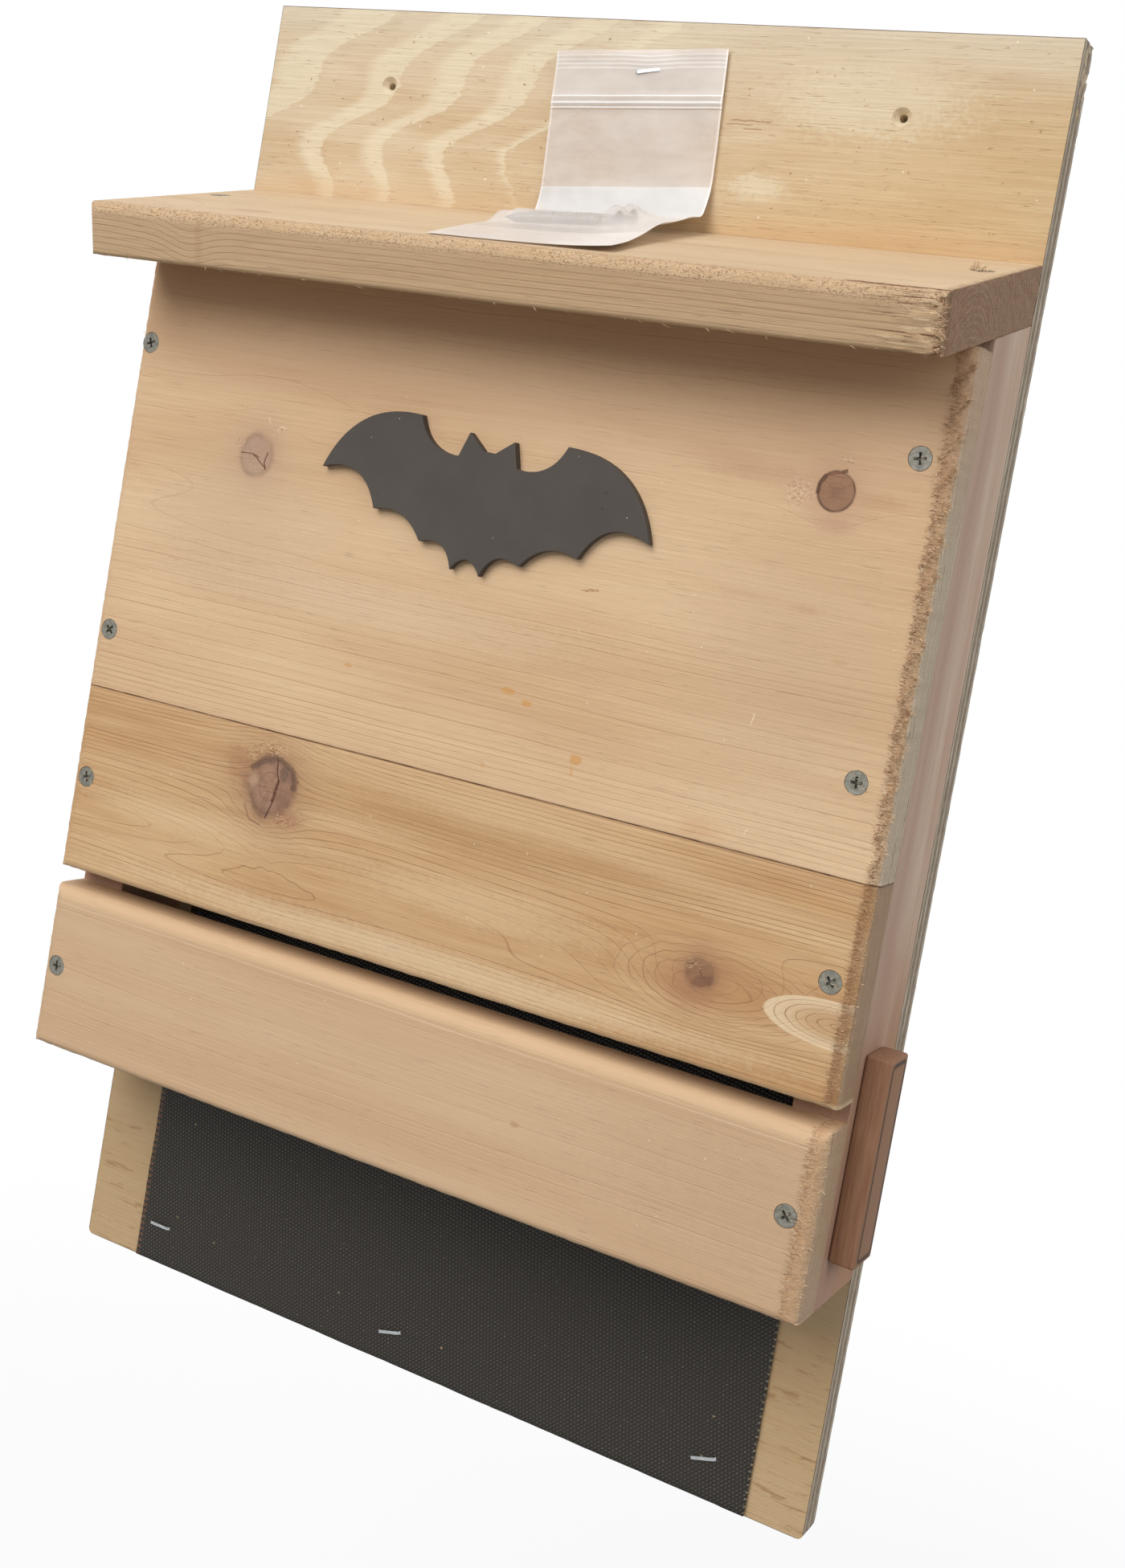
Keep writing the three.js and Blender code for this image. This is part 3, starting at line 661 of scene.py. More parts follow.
def oval_rings(centre, reach, count, body, line, body_share, line_share, outer=1.0, inner=0.0, uneven=0.08):
    """The rule for a nest of ovals round a place, with their own lines."""
    def rule(place, colour, height):
        far = length((place - centre) / reach) + (clouds(place, 0.09) - 0.5) * uneven
        own = group("Growth lines", rings=far * count, width=0.24, unevenness=0.35)
        within = step(far, outer, outer * 0.96) * step(far, inner, inner + 0.08)
        colour = paint(colour, within, mix(step(far, 0.3, 0.9), *body), body_share)
        return paint(colour, own.line * within, line, line_share), height
    return rule


def lit_band(start, end, over, share, line=None):
    """The rule for a band of painted light or shade along a board's long edge, with a fine painted highlight
    line where it starts.
    """
    def rule(place, colour, height):
        level = parts(place)[2] + clouds(stretch(place, (0.05, 0.3, 0.3)), 1.0, 3.0) * 1.2
        colour = paint(colour, step(level, start, end), over, share)
        if line is not None:
            colour = paint(colour, near(level, start, 0.5, 0.1), line, 0.5)
        return colour, height
    return rule


def pale_cedar():
    """The upper front board: pinkish, two knots, resin spots, fine lines low down."""
    dark, nick, gap = (104, 58, 42), (232, 208, 180), (150, 108, 84)
    resin, edge = (205, 150, 84), (196, 167, 136)
    return wood(
        "pale_cedar_finish", pale=(220, 193, 161), deep=(205, 174, 140), line=(160, 116, 80), line_share=0.6,
        line_width=0.7, streak=0.3, fade=((0.0, 0.0, 1.0), -172.0, -222.0, 0.36), unevenness=0.85,
        line_low=0.3, slope=(0.0015, 0.7, 0.075), wobble=((0.007, 0.0, 0.02), 1.3), cloud=(0.004, 0.02, 0.02),
        bends=[(-208.0, 4.0, -0.175), (-256.0, 3.0, -0.18)], fluff=(232, 206, 178),
        humps=[((67, 0, -197), (260, 1000, 13), 2.7), ((20, 0, -150), (200, 1000, 16), 0.8)],
        knots=[
            knot(-108.2, -165.3, 8.0, 8.3, 1.6, (178, 148, 128), (132, 96, 80), (176, 144, 124),
                 rim_share=0.45, body_share=0.9, rim_width=0.14, ray_share=0.25, halo_share=0.6),
            knot(137.6, -142.7, 6.9, 7.0, 1.4, (150, 112, 88), (80, 50, 38), (180, 140, 116), ragged=0.12,
                 rim_share=1.0, rim_width=0.07, rim_gaps=0.3, ray_share=0.1, halo_share=0.65),
        ],
        splits=[
            *cracks([(-116.2, -164.8), (-109.9, -164.6), (-106.6, -165.8)], dark),
            *cracks([(-109.9, -164.6), (-102.9, -169.6)], dark, 0.38),
            *cracks([(-102.7, -163.0), (-103.8, -167.7), (-102.7, -170.2)], dark, 0.42),
            *cracks([(130.9, -144.4), (131.4, -140.4), (133.2, -137.4)], (64, 42, 34), 1.0, wander=1.6,
                    lift=-1.0),
            *cracks([(133.0, -137.6), (139.4, -135.8)], dark, 0.45),
            *cracks([(138.6, -135.8), (140.6, -135.0)], (74, 48, 38), 1.0),
            *cracks([(-105.0, -149.0), (-103.6, -151.4)], nick),
            *cracks([(-99.0, -152.0), (-95.6, -152.6)], nick),
            scratch(122.5, -225.7, 82, 5, nick, 0.28),
            scratch(127.4, -265.0, 60, 3, nick, 0.28),
            scratch(51.0, -192.5, 5, 8, (168, 122, 82), 0.5, 0.7, 3.0),
        ],
        torn=[
            (-98.0, -152.8, 6.0, 3.0, 0.5, gap), (124.6, -144.5, 7.5, 7.0, 0.8, gap),
            (139.6, -131.6, 3.8, 1.6, 0.9, (122, 84, 64)), (-117.0, -161.0, 3.0, 4.0, 0.5, gap),
        ],
        spots=spots([
            (24.2, -235.5, 3.6, 1.6, resin), (32.8, -238.6, 2.6, 1.5, resin), (56.9, -254.8, 3.0, 2.4, resin),
            (56.0, -259.0, 1.0, 2.6, resin, 0.4), (18.7, -265.1, 1.6, 1.3, resin, 0.35),
            (-48.2, -239.8, 2.0, 1.1, resin, 0.55), (137.8, -143.0, 4.6, 4.6, (116, 84, 68), 0.6, 0.9, 0.6),
        ]) + spots([
            (134.6, -184.8, 9.0, 3.2, (186, 136, 98), 0.4, 0.9, 1.8),
            (112.0, -183.0, 30.0, 1.2, (192, 148, 110)), (150.1, -200.3, 5.0, 1.8, (184, 138, 98)),
            (110.0, -268.0, 14.0, 6.0, (202, 152, 112), 0.4, 0.9, 1.4),
            (155.0, -144.0, 17.0, 4.0, (184, 138, 104)), (108.0, -140.0, 32.0, 5.5, (184, 144, 114)),
            (140.0, -154.0, 11.0, 4.6, (182, 134, 110)), (-104.0, -162.0, 11.0, 13.0, (176, 140, 116)),
            (-40.0, -215.0, 150.0, 14.0, (222, 196, 166)), (150.0, -215.0, 50.0, 10.0, (198, 160, 124)),
            (-112.0, -192.0, 66.0, 46.0, edge), (134.0, -206.0, 66.0, 74.0, edge),
        ], 0.4, 0.9),
        strips=[
            end_strip(TORN_BORDER, 3.4, (168, 128, 94), 0.75, (124, 84, 56), (236, 210, 178), (210, 192, 168),
                      (144, 124, 100), 0.85, lean=FRINGE_LEAN),
            # Painted warm shade on the board's upper part, under the roof.
            lit_band(-165.0, -100.0, (194, 146, 110), 0.42),
            seam_line(UPPER[0][2], (108, 72, 48)),
        ],
    )


def yellow_cedar():
    """The lower front board: yellow-brown, dense lines, two knots and a bright oval swirl."""
    dark, gap = (74, 44, 32), (146, 92, 62)
    return wood(
        "yellow_cedar_finish", pale=(213, 184, 148), deep=(191, 155, 114), line=(136, 94, 58), line_share=0.6,
        streak=0.4, line_low=0.3, slope=(0.003, 0.9, 0.6), wobble=((0.008, 0.0, 0.015), 1.1),
        cloud=(0.006, 0.02, 0.05), bends=[(-301.0, 5.0, 0.44), (-335.0, 3.0, -0.40)], unevenness=0.7,
        humps=[((-190, 0, -322), (230, 1000, 11), -5.2), ((126, 0, -322), (34, 1000, 13), 6.5),
               ((60, 0, -300), (90, 1000, 14), 1.5)],
        fluff=(222, 188, 148),
        knots=[
            knot(-75.4, -295.0, 12.0, 11.8, 7.0, (160, 124, 102), (102, 72, 58), (150, 110, 84), ragged=0.4,
                 rim_share=0.6, rim_width=0.2, halo_share=0.7, body_share=0.95, ring_share=0.35),
            knot(119.8, -318.4, 5.8, 5.2, 1.5, (126, 90, 70), (76, 50, 40), (150, 106, 80), halo_share=0.8,
                 ragged=0.8, rim_share=0.3, rim_width=0.25, body_share=0.85),
        ],
        splits=[
            *cracks([(-86.0, -289.6), (-80.5, -285.4), (-73.5, -283.0), (-67.2, -285.2), (-64.0, -289.6),
                     (-63.9, -294.0)], (88, 64, 54), 1.9, 0.6, 3.0),
            *cracks([(-73.8, -282.5), (-73.0, -288.4), (-71.6, -292.1)], dark, 0.45),
            *cracks([(-71.6, -291.4), (-72.4, -296.0), (-73.2, -301.0)], (90, 50, 36), 0.95, wander=1.6,
                    lift=-0.8),
            *cracks([(-73.0, -300.0), (-75.6, -308.0)], dark, 0.45),
            *cracks([(-86.8, -304.0), (-83.0, -310.0), (-77.4, -311.0)], (140, 100, 80), 0.7, 0.6),
            *cracks([(114.0, -316.4), (117.0, -315.6)], dark, 0.4),
            *cracks([(119.6, -317.0), (121.0, -319.4)], dark, 0.4),
        ],
        torn=[
            (-77.0, -279.4, 13.0, 5.0, 0.8, gap), (-67.0, -306.5, 7.0, 5.4, 0.8, gap),
            (-86.0, -284.0, 6.0, 5.0, 0.7, gap), (117.0, -316.0, 5.0, 3.0, 0.8, (90, 60, 46)),
        ],
        spots=spots([
            (30.0, -318.0, 90.0, 12.0, (220, 190, 150)), (-120.0, -318.0, 60.0, 10.0, (216, 186, 146)),
            (20.0, -293.0, 125.0, 12.0, (180, 140, 96)), (0.0, -344.0, 200.0, 9.0, (222, 196, 160), 0.62),
            (-84.2, -293.4, 3.4, 5.0, (198, 166, 136), 0.5, 0.7),
            (-69.6, -288.6, 2.4, 4.0, (100, 78, 66), 0.7, 0.4), (-68.0, -299.0, 6.0, 8.0, (134, 98, 84)),
            (-90.0, -288.0, 13.0, 10.0, (162, 118, 88), 0.5, 0.9, 1.6),
            (-64.0, -306.0, 10.0, 6.0, (158, 112, 82)), (116.0, -327.0, 14.0, 10.0, (164, 118, 88)),
            (121.0, -310.5, 9.0, 4.0, (168, 122, 90)),
        ], 0.5, 0.9),
        strips=[
            oval_rings((128.0, 0.0, -322.0), (42.0, 1000.0, 16.0), 7.0, ((178, 134, 98), (206, 171, 130)),
                       (142, 98, 62), 0.3, 0.6, 1.02, 0.22, 0.22),
            oval_rings((173.5, 0.0, -323.1), (28.5, 1000.0, 8.8), 7.0, ((196, 160, 120), (226, 200, 164)),
                       (146, 98, 62), 0.9, 0.85),
            end_strip(173.0, 1.6, (146, 102, 66), 0.75, (104, 68, 44), (200, 164, 126), (174, 146, 118),
                      (128, 100, 74), 0.45, 0.3),
            # Painted highlight along the board's bottom round-over.
            lit_band(-348.6, -351.0, (224, 198, 162), 0.6),
            seam_line(LOWER[1][2], (98, 64, 42)),
        ],
    )


def slat_cedar():
    """The slat: clear pinkish wood with faint lines and a pale top round-over."""
    return wood(
        "slat_cedar_finish", pale=(211, 184, 153), deep=(201, 170, 138), line=(170, 132, 98), line_share=0.25,
        streak=0.25, pores=0.2, slope=(0.001, 0.8, 0.16), wobble=((0.005, 0.0, 0.02), 1.2),
        cloud=(0.003, 0.02, 0.025), humps=[((-60, 0, -396), (260, 1000, 20), 1.2)], line_low=0.15,
        unevenness=0.85,
        spots=spots([
            (58.0, -393.6, 2.2, 1.6, (178, 136, 98), 0.5),
            (150.0, -395.0, 110.0, 60.0, (192, 160, 127), 0.6, 1.0),
        ]),
        strips=[
            # A painted highlight line where the slat's top round-over begins, with a slightly browner band
            # above it.
            lit_band(-366.5, -364.5, (214, 182, 146), 0.5, (228, 200, 168)),
            end_strip(170.8, 3.0, (190, 148, 108), 0.65, (150, 104, 68), (236, 210, 178), (190, 162, 134),
                      (154, 124, 96), 0.7, 0.22),
        ],
    )


def front_edge(place, colour, height):
    """The rule for the roof's front: a darker face, pits on its round-over, splits at the right corner."""
    x, y, z = parts(place)
    face = step(y, -95.5, -98.0)
    colour = paint(colour, face, (190, 154, 114), 0.55)
    patch = step(clouds(stretch(place, (0.02, 0.0, 0.0))), 0.36, 0.56, 0.35, 1.0)
    beside = step(y, -93.5, -95.5) * step(z, ROOF_THICK - 6.0, ROOF_THICK - 4.0) * patch
    pits = clouds(stretch(place, (0.55, 1.1, 1.1)), 2.0, 3.0, 0.7)
    pit = step(pits, 0.54, 0.6) * beside
    colour = paint(colour, pit, (140, 98, 68), 0.85)
    colour = paint(colour, step(pits, 0.47, 0.53) * step(pits, 0.58, 0.54) * beside, (232, 208, 174), 0.5)
    deep = step(x + pits * 24.0, 158.0, 184.0) * face
    bits = clouds(stretch(place, (0.02, 0.8, 1.15)), 1.0, 4.0, 0.62)
    gap = step(bits, 0.565, 0.6) * deep
    colour = paint(colour, gap, (116, 66, 44), 0.95)
    splinter = step(bits, 0.44, 0.4) * deep
    colour = paint(colour, splinter, (230, 202, 166), 0.7)
    colour = paint(colour, near(x, -121.0, 2.6, 0.6) * face, (172, 136, 104), 0.3)
    split = split_mask(joined(x, z, y), 161.0, -97.0, 0.0, 42.0, 0.9, 1.4, ROOF_THICK)
    colour = paint(colour, split, (112, 70, 46), 0.9)
    return colour, height - pit * 1.8 + gap * -1.8 + splinter * 0.6 + split * -1.5


def roof_cedar():
    """The roof, in its own turned place: planed top, banded front edge, torn corner."""
    hinge = Matrix.Rotation(-ROOF_PITCH, 3, "X") @ Vector((0.0, *ROOF_HINGE))
    return wood(
        "roof_cedar_finish", pale=(209, 188, 160), deep=(200, 177, 147), line=(120, 78, 46), line_share=0.75,
        line_low=0.5, streak=0.3, line_width=0.85, fade=((0.0, -1.0, 0.0), 92.0, 97.0, 0.14),
        turn=(-ROOF_PITCH, 0.0, 0.0), move=tuple(-hinge), slope=(0.0, 0.05, 0.42),
        wobble=((0.01, 0.01, 0.02), 1.2), cloud=(0.006, 0.03, 0.05),
        humps=[((-126, 0, 6), (12, 1000, 40), 1.7), ((-178, 0, 10), (34, 1000, 40), -1.2)],
        knots=[knot(-114.0, 21.0, 9.0, 6.0, 0.5, (184, 152, 124), (146, 110, 84), (194, 164, 134), y=-76.0,
                    deep=4.0, body_share=0.5, rim_share=0.25)],
        strips=[
            front_edge,
            end_strip(175.4, 1.2, (160, 124, 92), 0.6, (114, 76, 52), (222, 192, 156), (146, 113, 87),
                      (168, 138, 110), 0.5, heart=(-72.0, -10.0)),
        ],
    )


def redder(place, colour, height):
    """The rule for the rails: warmer towards the bottom, a little darker beside the boards."""
    along, y, _ = parts(place)
    cloud = clouds(stretch(place, (0.02, 0.1, 0.1)), 1.0, 3.0) * 60.0
    colour = paint(colour, step(along + cloud, -235.0, -335.0), (164, 118, 86), 0.85)
    return paint(colour, step(y, -26.0, -44.0), (172, 142, 124), 0.5), height


def rail_cedar():
    """The rails: sawn pinkish wood, grain up and down."""
    return wood(
        "rail_cedar_finish", pale=(218, 202, 184), deep=(200, 174, 158), line=(160, 122, 102),
        line_share=0.35, fleck=(226, 206, 182), streak=0.5, turn=(0.0, math.radians(90), 0.0),
        slope=(0.0, 0.3, 0.3), wobble=((0.004, 0.03, 0.03), 2.0), cloud=(0.008, 0.06, 0.06), strips=[redder],
    )


# Ply, mesh, bat, plaque, metal and film

def ply_bands(x, z, wave, jag):
    """The pale wavy bands on the hanger's left, which stand nearly upright and swing together."""
    above = reckon("SMOOTH_MAX", z + 28.0, 0.0, 10.0)
    below = reckon("SMOOTH_MAX", -z - 40.0, 0.0, 4.0)
    swing = reckon("COSINE", z * 0.17 + 1.02) * -5.5
    foot = x + above * -1.02 + below * -0.6 + swing + wave * 9.0 + jag * 9.0
    band = 0.0
    for centre, half in ((-196.0, 12.0), (-149.0, 8.4), (-117.5, 7.4), (-84.5, 7.4), (-52.0, 4.0)):
        half = z * 0.07 + half
        band = most(band, step(foot + half - centre, -3.0, 5.0) * step(half - foot + centre, -0.6, 1.0))
    return band * step(z, -70.0, -60.0)


def ply_face(place, x, z, band, wave, fibre):
    """The ply's broad face: streaky ground, golden and pale parts, bands, fibre, sap and a darker, browner
    foot with dark streaks.
    """
    level = z * 0.06 + wave * 2.6 + x * 0.006
    cloud = clouds(stretch(place, (0.011, 0.0, 0.05)), 1.0, 3.0, 0.55)
    streaky = step(cloud + reckon("SINE", level * 4.0) * 0.06, 0.34, 0.68)
    colour = mix(streaky, (209, 192, 166), (200, 179, 149))
    golden = step(x + z * -2.2, 20.0, 220.0) * step(z, -90.0, -75.0)
    colour = paint(colour, golden, (197, 169, 128), 0.7)
    high = step(z + wave * 20.0, 2.0, 30.0) * 0.6
    colour = paint(colour, high, (212, 203, 186), 0.85)
    for x0, z0, wide, tall, share in ((102, 4, 54, 19, 0.7), (62, -30, 16, 7, 0.75), (10, 24, 44, 7, 0.5)):
        colour = paint(colour, spot_mask(place, x0, z0, wide, tall, 1.1, 0.7), (217, 206, 181), share)
    colour = paint(colour, band, (220, 209, 185), 0.8)
    streak = step(fibre.streaks, 0.4, 0.72)
    colour = mix(0.28, colour, mix(streak, (178, 138, 96), (232, 216, 190)), "SOFT_LIGHT")
    colour = paint(colour, fibre.pores, (172, 130, 88), 0.35)
    torn = clouds(stretch(place, (0.12, 1.0, 0.5)), 1.2, 3.0, 0.65)
    colour = paint(colour, step(torn, 0.66, 0.74), (166, 124, 82), 0.4)
    flecks = group("Specks", place, spacing=9.0, size=0.08, share=0.35)
    colour = paint(colour, flecks.mask, (238, 224, 200), 0.6)
    sap = step(z + wave * 8.0, -36.0, -50.0) * step(z, -80.0, -60.0)
    colour = paint(colour, sap, (196, 150, 98), 0.35)
    low = step(z, -400.0, -470.0)
    colour = paint(colour, low, (190, 156, 112), 0.7)
    dark = clouds(stretch(place, (0.05, 0.5, 0.33)), 1.0, 4.0, 0.68)
    colour = paint(colour, step(dark, 0.58, 0.68) * low, (146, 106, 66), 0.5)
    for x0, z0, long in ((55, -5.0, 20), (50, -6.6, 13), (56, -8.2, 9)):
        colour = paint(colour, split_mask(place, x0, z0, 0.0, long, 0.35, 1.2), (150, 104, 66), 0.7)
    return colour


def plywood():
    """Rotary-cut ply: wavy pale bands on the left, faint streaks elsewhere, laid plies on the edges."""
    tree, place = new_material("plywood_finish")
    x, y, z = parts(place)
    wave = clouds(stretch(place, (0.02, 0.0, 0.08))) - 0.5
    jag = clouds(stretch(place, (0.05, 0.0, 0.5)), 1.0, 4.0, 0.7) - 0.5
    band = ply_bands(x, z, wave, jag)
    fibre = group("Wood fibre", place, length=26.0, width=0.6)
    colour = ply_face(place, x, z, band, wave, fibre)
    layer = y / (PLY_FRONT / 5)
    glue = step(abs(fract(layer) - 0.5), 0.42, 0.5)
    odd = reckon("FLOORED_MODULO", reckon("FLOOR", layer), 2.0)
    grain = clouds(stretch(place, (1.2, 1.2, 0.06)), 0.9, 4.0, 0.7)
    cut = clouds(stretch(place, (0.8, 1.2, 0.3)), 1.1, 4.0, 0.8)
    long_ply = mix(step(grain, 0.4, 0.65), (166, 152, 132), (220, 208, 188))
    end_ply = mix(step(cut, 0.4, 0.65), (132, 114, 96), (178, 162, 142))
    layers = paint(mix(odd, long_ply, end_ply), glue, (84, 70, 56), 0.8)
    side_edge = step(abs(x), RIGHT - 0.35, RIGHT - 0.1)
    end_edge = most(step(z, TOP - 0.35, TOP - 0.1), step(z, BOTTOM + 0.35, BOTTOM + 0.1))
    on_edge = most(side_edge, end_edge)
    height = fibre.height + band * 0.3 + (grain + cut) * on_edge * 1.4 - glue * on_edge
    colour = mix(on_edge, colour, layers)
    return end_material(tree, colour, height, (0.5, 0.0005), Roughness=0.72, Specular_IOR_Level=0.28)


def woven_mesh():
    """Charcoal woven mesh: staggered humps painted lighter than the shaded hollows between them, small
    painted glints, tan threads at its cut edges.
    """
    tree, place = new_material("woven_mesh_finish")
    (left, _, _), (right, _, _) = box_mm("landing_mesh")
    x, _, z = parts(place)
    hump = group("Weave", stretch(place, turn=(0.0, math.radians(45), 0.0)), across=1.9, down=1.35).height
    # Painted shade: the humps take the lighter tone and the hollows between them the darker.
    colour = mix(hump, (40, 36, 31), (71, 65, 57))
    colour = paint(colour, step(clouds(place, 0.02, 3.0), 0.4, 0.7), (52, 47, 41), 0.35)
    # Small painted glints on the humps.
    colour = paint(colour, step(clouds(place, 0.9), 0.62, 0.72) * hump, (128, 122, 112), 0.6)
    dust = group("Specks", place, spacing=11.0, size=0.05, share=0.6)
    colour = paint(colour, dust.mask, (196, 168, 132), 0.8)
    beat = abs(fract(z * 0.36) - 0.5)
    left_row = step(x, left + 2.6, left + 1.4) * step(beat, 0.2, 0.3)
    right_row = step(x, right - 1.1, right - 0.5) * step(beat, 0.3, 0.4)
    colour = paint(colour, left_row, (140, 98, 68), 0.6)
    colour = paint(colour, right_row, (170, 156, 132), 0.6)
    rough = 0.74 - hump * 0.25
    return end_material(tree, colour, hump, (0.9, 0.0008), Roughness=rough, Specular_IOR_Level=0.4)


def dark_panel():
    """The bat: matt dark grey with sawdust and small pits."""
    tree, place = new_material("dark_panel_finish")
    fine = clouds(place, 2.2, 3.0, 0.7)
    colour = mix(step(clouds(place, 0.05, 4.0, 0.6), 0.3, 0.7), (72, 65, 60), (78, 71, 65))
    colour = mix(0.25, colour, mix(fine, (64, 58, 52), (108, 100, 92)), "SOFT_LIGHT")
    dust = group("Specks", place, spacing=6.0, size=0.085, share=0.5)
    colour = paint(colour, dust.mask, (176, 158, 136), 0.8)
    pits = group("Specks", stretch(place, move=(3, 0, 5)), spacing=9.0, size=0.085, share=0.6)
    colour = paint(colour, pits.mask, (44, 38, 34), 0.8)
    return end_material(tree, colour, fine, (0.3, 0.0002), Roughness=0.62, Specular_IOR_Level=0.4)


def plaque_wood():
    """The plaque: bare brown wood with a burnt border line on its outer face."""
    tree, place = new_material("plaque_wood_finish")
    low, high = box_mm("side_plaque")
    centre = middle("side_plaque")
    corner = 4.5
    x, y, z = parts(place)
    fibre = group("Wood fibre", stretch(place, turn=(0, math.radians(90), 0)), length=14.0, width=0.5)
    colour = mix(step(fibre.streaks, 0.3, 0.72), (134, 94, 70), (151, 113, 87))
    outer = step(x, high[0] - 0.6, high[0] - 0.2)
    colour = paint(colour, outer, (150, 114, 88), 0.75)
    over_y, over_z = (
        abs(part - centre[axis]) - ((high[axis] - low[axis]) / 2 - corner) for axis, part in ((1, y), (2, z))
    )
    round_corner = length(joined(most(over_y, 0.0), most(over_z, 0.0)))
    off_line = abs(round_corner + least(most(over_y, over_z), 0.0) - 2.2)
    line = step(off_line, 0.9, 0.45) * outer
    colour = paint(colour, step(off_line, 2.4, 0.3) * outer, (122, 84, 58), 0.6)
    colour = paint(colour, line, (48, 34, 26), 0.9)
    height = fibre.height - line * 2.0
    return end_material(tree, colour, height, (0.5, 0.0004), Roughness=0.7, Specular_IOR_Level=0.3)


def zinc_steel():
    """Dull zinc plating with small stains."""
    tree, place = new_material("zinc_steel_finish")
    fine = clouds(place, 3.0, 3.0, 0.7)
    colour = mix(step(clouds(place, 0.5, 4.0, 0.65), 0.35, 0.65), (112, 109, 99), (142, 139, 129))
    colour = mix(step(fine, 0.5, 0.8) * 0.5, colour, (84, 80, 70))
    rough = step(fine, 0.2, 0.8, 0.42, 0.6)
    return end_material(tree, colour, fine, (0.25, 0.0001), Metallic=0.5, Roughness=rough)


def bright_wire():
    """Galvanised staple wire, drawn along its length."""
    tree, place = new_material("bright_wire_finish")
    fine = clouds(stretch(place, (0.4, 3.0, 6.0)), 1.0, 3.0, 0.6)
    colour = mix(step(fine, 0.3, 0.7), (150, 153, 155), (190, 192, 192))
    rough = step(fine, 0.2, 0.8, 0.22, 0.38)
    return end_material(tree, colour, fine, (0.2, 0.0001), Metallic=0.9, Roughness=rough)


def clear_film():
    """Clear film seen by its sheen, its zip and header lines, the whiter fold before the bend, and a painted
    shade line under the zip.
    """
    tree, _ = new_material("clear_film_finish")
    flat = tree.out("ShaderNodeUVMap")
    across, down, _ = parts(flat)
    down = down * 100.0
    wrinkle = clouds(stretch(flat, (2.0, 6.0, 1.0)), 1.3, 4.0, 0.6)
    smudge = clouds(stretch(flat, (1.6, 5.0, 1.0), move=(3, 1, 0)), 1.0, 3.0, 0.6)
    alpha = step(wrinkle, 0.3, 0.75, 0.33, 0.41)
    alpha = alpha + step(smudge, 0.38, 0.66) * step(down, 56.0, 50.0) * -0.09
    alpha = alpha + step(down, 22.0, 16.0) * 0.14
    sag = near(across, 0.57, 0.2, 0.0) * 0.7
    header = 0.0
    for start in (2.0, 3.7, 5.4, 7.1):
        header = most(header, near(down, sag + start, 0.32, 0.1))
    lines = header * 0.55
    for start, width in ((18.3, 0.35), (20.9, 0.6), (22.9, 0.35)):
        lines = most(lines, near(down, start, width, width * 0.4))
    fold = step(down, 54.4, 54.8) * step(down, 84.0, 62.0)
    rim = most(step(abs(across - 0.5), 0.487, 0.496), step(down, 123.4, 124.5))
    rim = rim * step(down, 60.0, 80.0, 1.0, 0.4)
    alpha = alpha + lines * 0.4 + fold * 0.27 + rim * 0.4
    lying = step(down, 62.0, 76.0) * step(across, 0.55, 0.9, 0.07, 0.28)
    heads = 0.0
    for head in (93.0, 104.5):
        away = ((across - 0.755) * 10.0) ** 2.0 + ((down - head) * 0.2) ** 2.0
        heads = most(heads, falling(away))
    facing = tree.out("ShaderNodeLayerWeight", {"Blend": 0.35}, "Facing")
    alpha = reckon("ADD", alpha + lying, facing * 0.16, use_clamp=True) * (1.0 - heads * 0.4)
    colour = mix(fold, (238, 230, 224), (231, 229, 227))
    colour = mix(lines, colour, (246, 245, 244))
    # A painted shade line just under the zip.
    colour = paint(colour, near(down, 23.6, 0.5, 0.15), (186, 160, 134), 0.6)
    return end_material(tree, colour, wrinkle, (0.25, 0.0006), Roughness=0.28, Alpha=alpha, IOR=1.5,
                        Specular_IOR_Level=0.35)


# Mesh building

def settle(piece, slot, nodes):
    """Hides the CAD nodes that the piece is drawn in place of and attaches it to the body it moves with. The
    slot is not used.
    """
    if nodes:
        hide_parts(*nodes)
    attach(piece, BODY)
    return piece


def link_mesh(name, mesh):
    piece = bpy.data.objects.new(name, mesh)
    bpy.context.scene.collection.objects.link(piece)
    return piece


def smooth(mesh, sharp):
    """Smooth shading, but for edges that turn by more than so many degrees."""
    mesh.polygons.foreach_set("use_smooth", [True] * len(mesh.polygons))
    mesh.set_sharp_from_angle(angle=math.radians(sharp))


def build_mesh(name, points, faces, material, sharp=32.0):
    """A mesh object from points in millimetres, its faces turned outwards."""
    mesh = bpy.data.meshes.new(name)
    mesh.from_pydata([[value * MM for value in point] for point in points], [], faces)
    shape = bmesh.new()
    shape.from_mesh(mesh)
    bmesh.ops.recalc_face_normals(shape, faces=shape.faces)
    shape.to_mesh(mesh)
    shape.free()
    smooth(mesh, sharp)
    mesh.materials.append(material)
    return link_mesh(name, mesh)


def ease_edges(piece, width, segments, angle=30.0):
    """Rounds the edges that turn by more than so many degrees."""
    ease = piece.modifiers.new("eased_edge", "BEVEL")
    ease.width = width * MM
    ease.segments = segments
    ease.limit_method = "ANGLE"
    ease.angle_limit = math.radians(angle)


def clamped(value):
    return min(max(value, 0.0), 1.0)


def rough_noise(x, y, z):
    return noise.turbulence((x, y, z), 3, False)


def even(low, high, gap):
    """Even places from low up to, but not at, high."""
    if high - low < 1e-6:
        return []
    count = max(1, round((high - low) / gap))
    return [low + (high - low) * k / count for k in range(count)]


